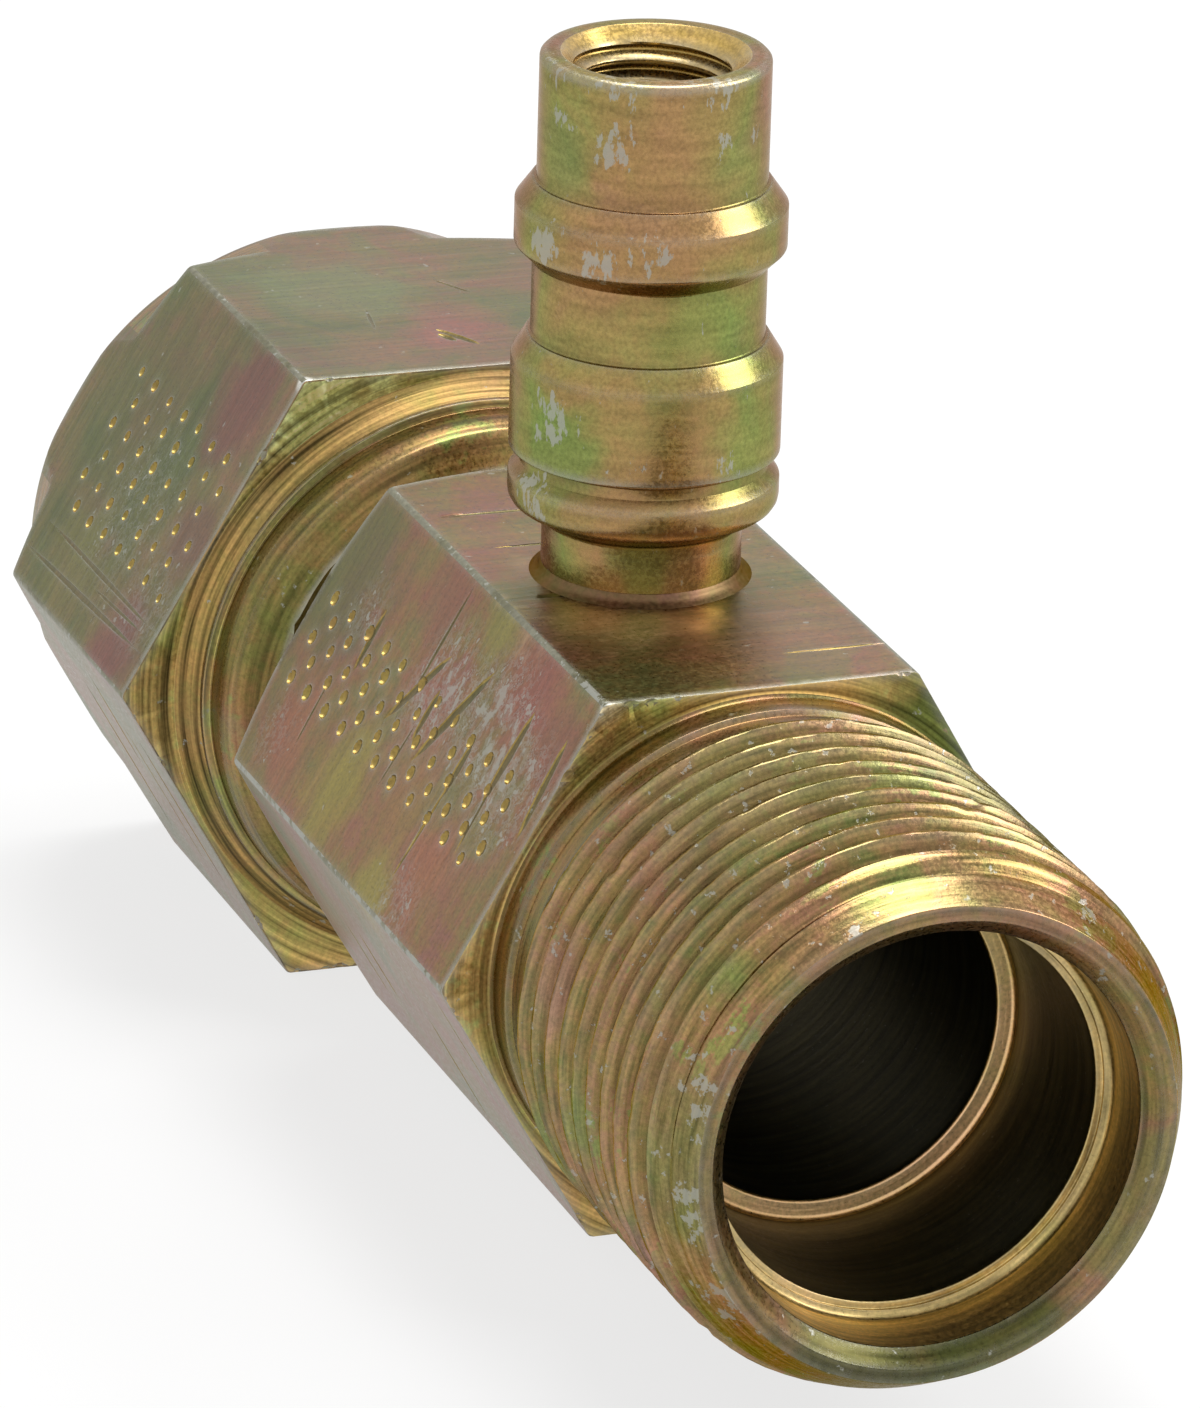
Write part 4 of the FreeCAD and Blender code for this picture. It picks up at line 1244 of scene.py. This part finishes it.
# yellow chromate on steel bar left by a face mill: soft patches from grey-green to copper, faint lines
# across the flats, a few pale chips where it was knocked, and edges rubbed to the zinc
milled = chromate(
    "milled_chromate", "FLAT", OLIVES, VEILS, pitch=0.4, lines=0.1, chips=0.68,
    chip_stretch=(1.5, 1.1, 1.1), chip_share=0.6, scuffs=(
        (marked(HEX_FLATS, 0, 1.0, -2.6), 4.5, 0.13),
        (marked(HEX_FLATS, 0, 7.5, -3.2), 5.0, 0.14),
        (marked(HEX_FLATS, 0, 12.5, -1.6), 4.5, 0.13),
        (marked(HEX_FLATS, 0, -9.5, -2.6), 3.0, 0.08),
        (marked(HEX_FLATS, 0, 8.0, 7.0), 3.5, 0.1),
        (marked(HEX_FLATS, 0, -12.0, 5.0), 3.0, 0.08),
    ), wear=0.9, hollow_shade=0.35, relief=0.55, rough=0.34, stains_and_painted_light=(
        (marked(HEX_FLATS, 0, -13.0, -3.5), 5.5, "#626542", 0.75),
        (marked(HEX_FLATS, 0, 9.3, -6.6), 3.2, "#8A584C", 0.75),
        (marked(HEX_FLATS, 0, 14.8, -4.5), 2.6, "#84564A", 0.7),
        (marked(HEX_FLATS, 0, -2.5, -6.2), 2.6, "#865A4C", 0.75),
        (marked(HEX_FLATS, 0, 3.9, -6.8), 1.8, "#807C42", 0.8),
        (marked(HEX_FLATS, 0, -10.6, 4.5), 3.2, "#92604C", 0.75),
        (marked(HEX_FLATS, 0, -3.0, 5.0), 3.4, "#8E8040", 0.75),
        (marked(HEX_FLATS, 0, 4.0, 2.6), 2.6, "#8A7044", 0.6),
        (marked(HEX_FLATS, 0, 8.9, 4.2), 2.6, "#98664E", 0.7),
        (marked(HEX_FLATS, 0, 5.2, 7.2), 2.4, "#8C8444", 0.8),
        # painted light: these three lighter patches on the top flat, round the port's foot, paint the
        # flat's sheen and lift the dark reflection of the port in it
        ((10.0, 2.0, FLAT_Z), 4.5, "#967458", 0.5),
        ((5.5, -3.0, FLAT_Z + 2.0), 4.6, "#D6B890", 0.8),
        ((0.0, 0.0, FLAT_Z), 5.4, "#B89C74", 0.6),
        # painted highlight: a near-white glint on the body's front corner
        (BODY_GLINT_CORNER, 0.45, "#EDEBE2", 1.0),
    ))
# the same film on the nut's flats has drained thinner, so they look greyer and cooler
nut_milled = chromate(
    "nut_milled_chromate", "FLAT", GREYS, VEILS, pitch=0.4, lines=0.1, chips=0.68,
    chip_stretch=(1.5, 1.1, 1.1), chip_share=0.5, scuffs=(
        (marked(NUT_FLATS, NUT_TURN, -33.0, 2.0), 7.0, 0.07),
        (marked(NUT_FLATS, NUT_TURN, -26.0, 5.0), 4.0, 0.08),
    ), wear=0.9, hollow_shade=0.35, relief=0.55, rough=0.34, stains_and_painted_light=(
        (marked(NUT_FLATS, NUT_TURN, -36.0, -1.0), 10.0, "#585F38", 0.6),
        (marked(NUT_FLATS, NUT_TURN, -28.6, -6.3), 3.6, "#744C46", 0.8),
        (marked(NUT_FLATS, NUT_TURN, -26.0, 1.0), 2.6, "#745348", 0.7),
        (marked(NUT_FLATS, NUT_TURN, -27.0, 7.8), 3.0, "#7A504A", 0.8),
        (marked(NUT_FLATS, NUT_TURN, -36.0, 6.0), 3.4, "#706E40", 0.6),
        ((-29.0, 0.5, 15.9), 3.0, "#925C54", 0.8),
        ((-27.0, -4.5, 15.9), 2.4, "#8A6650", 0.6),
        ((-37.0, -3.0, 15.9), 5.0, "#747C54", 0.7),
        # painted highlight: a near-white glint on the nut's near corner
        (NUT_GLINT_CORNER, 0.6, "#EDEBE2", 1.0),
    ))
# the floors of pits and tool strokes hold a thicker, olive film
struck = chromate(
    "struck_chromate", "FLAT", ("#5E6040", "#6C6444", "#746446", "#686240"), ("#60623E", "#706448"),
    pitch=0.3, lines=0.15, chips=0.66, wear=0, hollow_shade=0.15, rough=0.36)
# the pits' walls, pressed smooth by the punch, catch the light in gold
pit_wall = chromate(
    "pit_wall_chromate", "FLAT", ("#8C7E46", "#A08A4E", "#94784A"), ("#8E8248", "#9E844C"),
    pitch=0.3, lines=0.1, chips=0.72, wear=0, hollow_shade=0.3, rough=0.34)
# chromate on lathe-turned steel: fine rings in gold, olive and copper
turned_chromate = chromate(
    "turned_chromate", "X", ("#6C6A38", "#746A3C", "#80683E", "#886442", "#6E7840"), VEILS,
    pitch=0.3, lines=0.45, hollow_shade=0.6, wear=0.5, stains_and_painted_light=(
        # painted shade: the first two darker patches, low on the male face and the mouth's rim, damp the
        # overhead softbox's highlight there
        ((MALE_FACE_X, -3.5, -10.8), 6.0, "#3E4024", 0.9),
        ((MALE_FACE_X, 3.0, -11.0), 5.0, "#464C28", 0.8),
        ((MALE_FACE_X, -11.3, 0.0), 4.5, "#5C5C38", 0.5),
    ))
# faces that the lathe left across the axis are brighter and rougher, with close rings
faced = chromate(
    "faced_chromate", "X", ("#A2AA5E", "#B2A060", "#B68E5C", "#9EAA6A"), ("#A2B05E", "#B4925A"),
    pitch=0.25, lines=0.75, rough=0.42, hollow_shade=0.4, wear=0.3, stains_and_painted_light=(
        ((HEX_FRONT_X, 9.5, 10.0), 5.5, "#4E5C2A", 0.9),
        ((HEX_FRONT_X, 14.5, 2.0), 5.0, "#545A2C", 0.8),
        ((HEX_FRONT_X, 0.0, 13.5), 5.0, "#C8A05C", 0.7),
        # painted highlights: near-white glints on the front corners of the body and the nut
        (BODY_GLINT_CORNER, 0.9, "#E8D8B0", 0.9),
        (NUT_GLINT_CORNER, 0.5, "#E8E0C8", 0.9),
        # painted light: the nut's flat face beside its corner is lightened against the dark reflection of
        # the body's hexagon in it
        ((NUT_NEAR_X, -8.5, 15.0), 4.0, "#E2EEA4", 0.95),
    ), glance="#D6CAA4")
# the cone beside the nut's flat face is browner, with close rings
cone = chromate(
    "cone_chromate", "X", ("#7A7440", "#8C7844", "#9A7A4A", "#807844"), ("#8A7A46", "#987854"),
    pitch=0.22, lines=0.8, rough=0.48, hollow_shade=0.5, wear=0.3, relief=0.9)
# thread crests carry short broken streaks of every tone of the film
threaded = chromate(
    "threaded_chromate", "X", ("#6E7A44", "#84784A", "#967A4E", "#986E54", "#7E8048"),
    ("#748046", "#8C7A48", "#986E56", "#84804C"), pitch=0.22, lines=0.4, chips=0.63,
    chip_stretch=(1.4, 1.4, 1.4), scuffs=(
        ((MALE_FACE_X, -11.2, 3.0), 2.2, 0.14),
        ((MALE_FACE_X, -11.4, -2.0), 2.6, 0.15),
        ((MALE_FACE_X, -9.8, -6.5), 2.6, 0.15),
        ((MALE_FACE_X, -4.5, 10.6), 1.0, 0.22),
        ((MALE_FACE_X - 0.5, 12.2, 0.5), 2.2, 0.12),
        ((MALE_FACE_X - 1.0, 7.5, 10.0), 1.5, 0.12),
    ), wear=0.12, hollow_shade=0.85, rough=0.26, relief=0.7, streak=4.0, tint=0.25, rugged=0.8, stains_and_painted_light=(
        ((26.0, -3.0, 13.2), 6.0, "#86864E", 0.5),
        # painted shade: this darker patch damps the right softbox's highlight on the thread's upper right
        ((25.0, 9.0, 9.6), 7.5, "#525232", 0.8),
        ((MALE_FACE_X, -11.6, 0.5), 4.5, "#6C7246", 0.6),
        ((MALE_FACE_X, -1.0, -12.6), 5.0, "#62663A", 0.75),
        # painted shade: this darker patch damps the right softbox's highlight on the thread's right side
        ((28.0, 12.5, 4.0), 9.0, "#736C46", 0.65),
        ((24.0, -13.0, 3.0), 2.6, "#966E62", 0.6),
        ((28.5, -12.8, -2.0), 2.6, "#668246", 0.6),
        ((22.0, -12.0, -6.0), 2.6, "#6C8448", 0.6),
        ((33.5, -11.5, -6.5), 2.4, "#96706A", 0.6),
        ((37.0, -9.0, 8.0), 1.8, "#6E8A48", 0.6),
    ), glance="#B8AA84")
# the bore behind the mouth is given dark tones, painted shade for its depth, with specks of dust
bored = chromate(
    "bored_chromate", "X", ("#504E32", "#5A5638", "#605A3A", "#525034"), ("#504E32", "#605A3A"),
    pitch=0.45, lines=0.4, chips=0.67, chip_stretch=(3.5, 3.5, 3.5), chip_share=0.35,
    wear=0, hollow_shade=0, rough=0.4)
# painted light: the wall of the seal's gland faces the light and is given pale gold
gland = chromate(
    "gland_chromate", "X", ("#CCB06C", "#DAB872", "#D0A86C"), ("#C4AC68", "#D8B672"),
    pitch=0.35, lines=0.4, chips=0.72, wear=0, hollow_shade=0.2, rough=0.38)
# painted light: the steps in the mouth, which face its opening, and the neck behind the hexagon, which lies
# in shade, are given light tones, with close silky rings in gold and green
steps = chromate(
    "step_chromate", "X", ("#A8985E", "#B69C6A", "#A89660"), ("#A4A464", "#BEA074"),
    pitch=0.25, lines=0.5, chips=0.72, wear=0.2, hollow_shade=0, rough=0.34, streak=3.0)
# painted light: the innermost step is given the lightest tones of the mouth, a light gold, for the light
# its shoulder catches
inner_step = chromate(
    "inner_step_chromate", "X", ("#D4BC7C", "#ECC090", "#E0BC84"), ("#DCC888", "#ECBC94"),
    pitch=0.25, lines=0.15, chips=0.72, wear=0.2, hollow_shade=0, rough=0.34)
# long edges of the hexagons are rubbed through to the pale zinc
worn_edge = chromate(
    "worn_edge_chromate", "X", ("#605C40", "#74725A", "#8E8C7C", "#6C684C"), ("#6A684E", "#8C8A7A"),
    pitch=0.4, lines=0.1, chips=0.6, chip_stretch=(1.6, 1.6, 1.6), chip_share=0.75, scuffs=(
        (marked(HEX_FLATS, 0, -13.0, 7.8), 5.5, 0.16),
        (marked(HEX_FLATS, 0, -5.0, 7.8), 5.5, 0.16),
        (marked(HEX_FLATS, 0, 4.0, 7.8), 5.5, 0.14),
        (marked(HEX_FLATS, 0, 12.0, 7.8), 5.5, 0.14),
        (marked(HEX_FLATS, 0, 15.0, -7.8), 4.0, 0.14),
    ), wear=0, hollow_shade=0, rough=0.38)
# turned surfaces inside the nut see little light: painted shade darkens them to brown, with strong
# occlusion in the hollows
inner_turned = chromate(
    "inner_turned_chromate", "X", ("#6E6238", "#7A6A3C", "#806444"), ("#6C6C3C", "#7C6A48"),
    pitch=0.35, lines=0.3, wear=0.4, hollow_shade=0.9)
# chromate on the finely turned port: glossy, with painted interference colour in upright bands from green
# over gold to rose, set by the turn from the camera's side, and the zinc bare on rubbed flange edges
port_plating = chromate(
    "port_chromate", "Z", ("#7A824A", "#8A7E4A", "#967A4C", "#987252", "#94665C"),
    ("#76864A", "#8C804C", "#967454", "#927A50"), pitch=0.5, lines=0.16, chips=0.68,
    chip_stretch=(2.0, 2.0, 0.8), chip_share=0.65, scuffs=(
        (on_port(5.5, -42, 36.3), 1.6, 0.24),
        (on_port(5.5, -72, 37.0), 1.3, 0.16),
        (on_port(5.5, 15, 36.6), 0.9, 0.15),
        (on_port(5.5, 40, 36.5), 1.2, 0.15),
        (on_port(5.3, -40, 39.5), 2.4, 0.16),
        (on_port(5.3, 10, 39.5), 2.6, 0.16),
        (on_port(5.3, -85, 39.5), 2.2, 0.16),
        (on_port(6.5, -72, 31.2), 1.8, 0.2),
        (on_port(6.5, -42, 30.8), 1.8, 0.2),
        (on_port(6.5, -20, 31.6), 1.6, 0.18),
        (on_port(6.5, -64, 22.6), 2.2, 0.2),
        (on_port(6.5, -20, 21.0), 1.5, 0.13),
        (on_port(6.5, 15, 20.6), 1.5, 0.15),
        (on_port(6.3, -78, 18.4), 2.0, 0.24),
    ), wear=1.0, hollow_shade=0.6, rough=0.26, sides=(
        "#84804A", "#947652", "#7C8450", "#8E6C66", "#9A686A", "#8A7058", "#7E8E4E", "#988A52", "#A88458"),
    stains_and_painted_light=(
        (on_port(6.5, -62, 21.0), 3.0, "#6C8C48", 0.7),
        (on_port(6.5, 28, 21.0), 2.6, "#7E8E4C", 0.6),
        (on_port(4.8, -18, 15.2), 2.0, "#748448", 0.7),
        (on_port(5.6, 8, 27.5), 2.4, "#7E8E4C", 0.6),
        (on_port(5.5, -70, 35.5), 2.4, "#7C8450", 0.6),
    ), glance="#E4DACA")
# inside the port's mouth the film is given clear, bright gold tones, a painted highlight on the inner
# chamfer, and painted shade darkens the thread roots
port_inside = chromate(
    "port_bore_chromate", "Z", ("#B0924E", "#C0A05C", "#C4A068"), ("#A8984E", "#C0A060"),
    pitch=0.4, lines=0.25, chips=0.72, hollow_shade=0.8, rough=0.26)
# braze that flowed round the foot, plated with the rest: smooth, brown-gold, without tool marks
braze = chromate(
    "plated_braze", "Z", ("#5E5A3A", "#6E5C3E", "#785A42", "#785248"), ("#5E5E3C", "#745A44"),
    pitch=0.5, lines=0.08, chips=0.75, wear=0, hollow_shade=0.5, rough=0.4, glance="#C8B090")
# turned brass of the valve core: bright yellow with fine rings
brass = plain_metal("turned_brass", "#D9B872", "#B9924E", rough=0.26, pitch=0.12)
# drawn spring steel wire: bright, cool grey
wire = plain_metal("drawn_spring_wire", "#B9B9BC", "#8E8F94", rough=0.24, pitch=0.2)
# moulded nitrile rubber: green, satin, faintly cloudy
green_rubber = rubber("green_seal_rubber", "#1F5A36", "#17482A", rough=0.42, scale=1.6)
# moulded rubber washer: black and matt
black_rubber = rubber("black_washer_rubber", "#1C1C1C", "#121212", rough=0.55, scale=4.0)
# moulded fluoropolymer seal: red, smooth and slightly glossy
red_polymer = rubber("red_seal_polymer", "#C4281F", "#A81D17", rough=0.35, scale=3.0)

CORE_FINISHES = {"core_plug": brass, "core_barrel": brass, "core_pin": brass, "core_cup": brass,
                 "core_barrel_seal": red_polymer, "core_cup_seal": black_rubber}
for name, cad_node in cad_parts.items():
    cad_node.data.materials.clear()
    cad_node.data.materials.append(CORE_FINISHES.get(name, turned_chromate))

body = finished(fitting_body(), "fitting", "yellow_zinc_steel", "fitting_body")
gland_end = (MALE_FACE_X - GLAND_DEPTH - 0.1) * MM
mouth_start = (MALE_FACE_X - 0.9) * MM
groove_start = (GROOVE_END_X + 1) * MM
body_marks = (HEX_REAR_X + 1.3, HEX_FRONT_X - 0.2)
dress(body,
      (threaded, lambda centre, normal: centre.x > RELIEF_END_X * MM
       and radius_of(centre) > MALE_FACE_R - 0.1),
      (worn_edge, on_long_edge(HEX_FLATS, 0)),
      (struck, in_mark(HEX_FLATS, 0, *body_marks, FLOOR_FACES_OUT, 1)),
      (pit_wall, in_mark(HEX_FLATS, 0, *body_marks, WALL_FACES_OUT, FLOOR_FACES_OUT)),
      (milled, on_hexagon(HEX_FLATS, 0)),
      (inner_step, lambda centre, normal: normal.x > 0.5 and radius_of(centre) < SOCKET_R - 0.02
       and groove_start < centre.x < mouth_start),
      (steps, lambda centre, normal: normal.x > 0.2 and radius_of(centre) < GLAND_R + 0.05
       and groove_start < centre.x < mouth_start),
      (steps, lambda centre, normal: BEAD_FRONT_X * MM < centre.x < (HEX_REAR_X - 0.1) * MM
       and radius_of(centre) > NECK_R - 0.1),
      (gland, lambda centre, normal: radius_of(centre) < MOUTH_R and gland_end < centre.x < mouth_start),
      (bored, lambda centre, normal: radius_of(centre) < MOUTH_R and groove_start < centre.x < mouth_start
       and radius_of(centre) < NECK_R - 0.3),
      (faced, lambda centre, normal: abs(normal.x) > 0.9 and radius_of(centre) > SHANK_R),
      (turned_chromate, lambda centre, normal: True))

nut = finished(swivel_nut(), "nut", "yellow_zinc_steel", "swivel_nut")
nut_marks = (NUT_NOSE_X + 1.6, NUT_NEAR_X - 0.2)
dress(nut,
      (worn_edge, on_long_edge(NUT_FLATS, NUT_TURN)),
      (struck, in_mark(NUT_FLATS, NUT_TURN, *nut_marks, FLOOR_FACES_OUT, 1)),
      (pit_wall, in_mark(NUT_FLATS, NUT_TURN, *nut_marks, WALL_FACES_OUT, FLOOR_FACES_OUT)),
      (nut_milled, on_hexagon(NUT_FLATS, NUT_TURN)),
      (inner_turned, lambda centre, normal: radius_of(centre) < NUT_MOUTH_R
       and centre.x < BEAD_FRONT_X * MM),
      (inner_turned, lambda centre, normal: radius_of(centre) < 12.1
       and centre.x > (LIP_END_X - 0.9) * MM),
      (cone, lambda centre, normal: 0.3 < normal.x < 0.93 and radius_of(centre) > COLLAR_R + 0.1),
      (faced, lambda centre, normal: abs(normal.x) > 0.9 and radius_of(centre) > COLLAR_R),
      (turned_chromate, lambda centre, normal: True))

port = finished(charge_port(), "fitting", "yellow_zinc_steel", "charge_port")
dress(port,
      (port_inside, lambda centre, normal: math.hypot(centre.x, centre.y) < (PORT_MOUTH_R + 0.1) * MM
       and centre.z > FLAT_Z * MM),
      (port_plating, lambda centre, normal: True))

fillet = finished(braze_fillet(), "fitting", "plated_braze", "braze_ring")
dress(fillet, (braze, lambda centre, normal: True))

o_ring = finished(pilot_o_ring(), "fitting", "seal_rubber", "pilot_o_ring")
dress(o_ring, (green_rubber, lambda centre, normal: True))

spring = finished(core_spring(), "fitting", "spring_steel", "core_spring")
dress(spring, (wire, lambda centre, normal: True))
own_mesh(spring)


def lamp(name, direction, distance, width, height, radiance):
    """Softbox of a given radiance that faces the object from a direction."""
    light = bpy.data.lights.new(name, "AREA")
    light.shape = "RECTANGLE"
    light.size = width
    light.size_y = height
    light.energy = math.pi * radiance * width * height
    box = bpy.data.objects.new(name, light)
    bpy.context.scene.collection.objects.link(box)
    away = Vector(direction).normalized()
    box.location = away * distance
    box.rotation_mode = "QUATERNION"
    box.rotation_quaternion = (-away).to_track_quat("-Z", "Y")


def seen_directly(tree):
    """Share of a ray that shows the white backdrop: camera, mirrored and passed rays."""
    camera_ray = node(tree, "LightPath", output=0)
    glossy_ray = node(tree, "LightPath", output=3)
    passed_ray = node(tree, "LightPath", output=6)
    either = node(tree, "Math", {0: camera_ray, 1: glossy_ray}, operation="MAXIMUM")
    return node(tree, "Math", {0: either, 1: passed_ray}, operation="MAXIMUM")


def studio():
    """White floor, soft light and the photograph's camera."""
    clear_selection()
    bpy.ops.mesh.primitive_plane_add(size=2.4, location=(0, 0, CAD_BOX[0][2]))
    floor = bpy.context.object
    floor.name = "floor"
    white = bpy.data.materials.new("white_floor")
    white.use_nodes = True
    tree = white.node_tree
    card = tree.nodes["Principled BSDF"]
    card.inputs["Base Color"].default_value = linear("#F2F2F2")
    card.inputs["Roughness"].default_value = 0.9
    # most of what the camera sees of the floor is plain white, and the rest keeps the soft shadow
    share = node(tree, "Math", {0: seen_directly(tree), 1: 0.75}, operation="MULTIPLY")
    glow = node(tree, "Emission", {"Color": (1, 1, 1, 1), "Strength": 1.0})
    mixed = node(tree, "MixShader", {0: share, 1: card.outputs[0], 2: glow})
    tree.links.new(mixed, tree.nodes["Material Output"].inputs["Surface"])
    floor.data.materials.append(white)

    world = bpy.data.worlds.new("studio")
    bpy.context.scene.world = world
    world.use_nodes = True
    tree = world.node_tree
    strength = node(tree, "MapRange", {0: seen_directly(tree), 3: 0.5, 4: 1.0})
    tree.links.new(strength, tree.nodes["Background"].inputs["Strength"])
    tree.nodes["Background"].inputs["Color"].default_value = (1, 1, 1, 1)
    lamp("overhead_softbox", (-0.2, 0.14, 0.96), 0.6, 0.34, 0.34, 7.5)
    lamp("right_softbox", (0.25, 0.77, 0.58), 0.6, 0.3, 0.28, 6.8)

    eye = Vector((440.646, -169.154, 187.774)) * MM
    target = Vector((26.396, -11.875, 17.657)) * MM
    camera = bpy.data.objects.new("camera", bpy.data.cameras.new("camera"))
    bpy.context.scene.collection.objects.link(camera)
    camera.location = eye
    look = (target - eye).to_track_quat("-Z", "Y")
    camera.rotation_mode = "QUATERNION"
    camera.rotation_quaternion = look @ Matrix.Rotation(0.0301, 3, "Z").to_quaternion()
    camera.data.sensor_fit = "AUTO"
    camera.data.sensor_width = 36
    camera.data.lens = 10500 * 36 / 1408
    camera.data.clip_start = 0.01
    bpy.context.scene.camera = camera
    bpy.context.scene.view_settings.view_transform = "Standard"


studio()
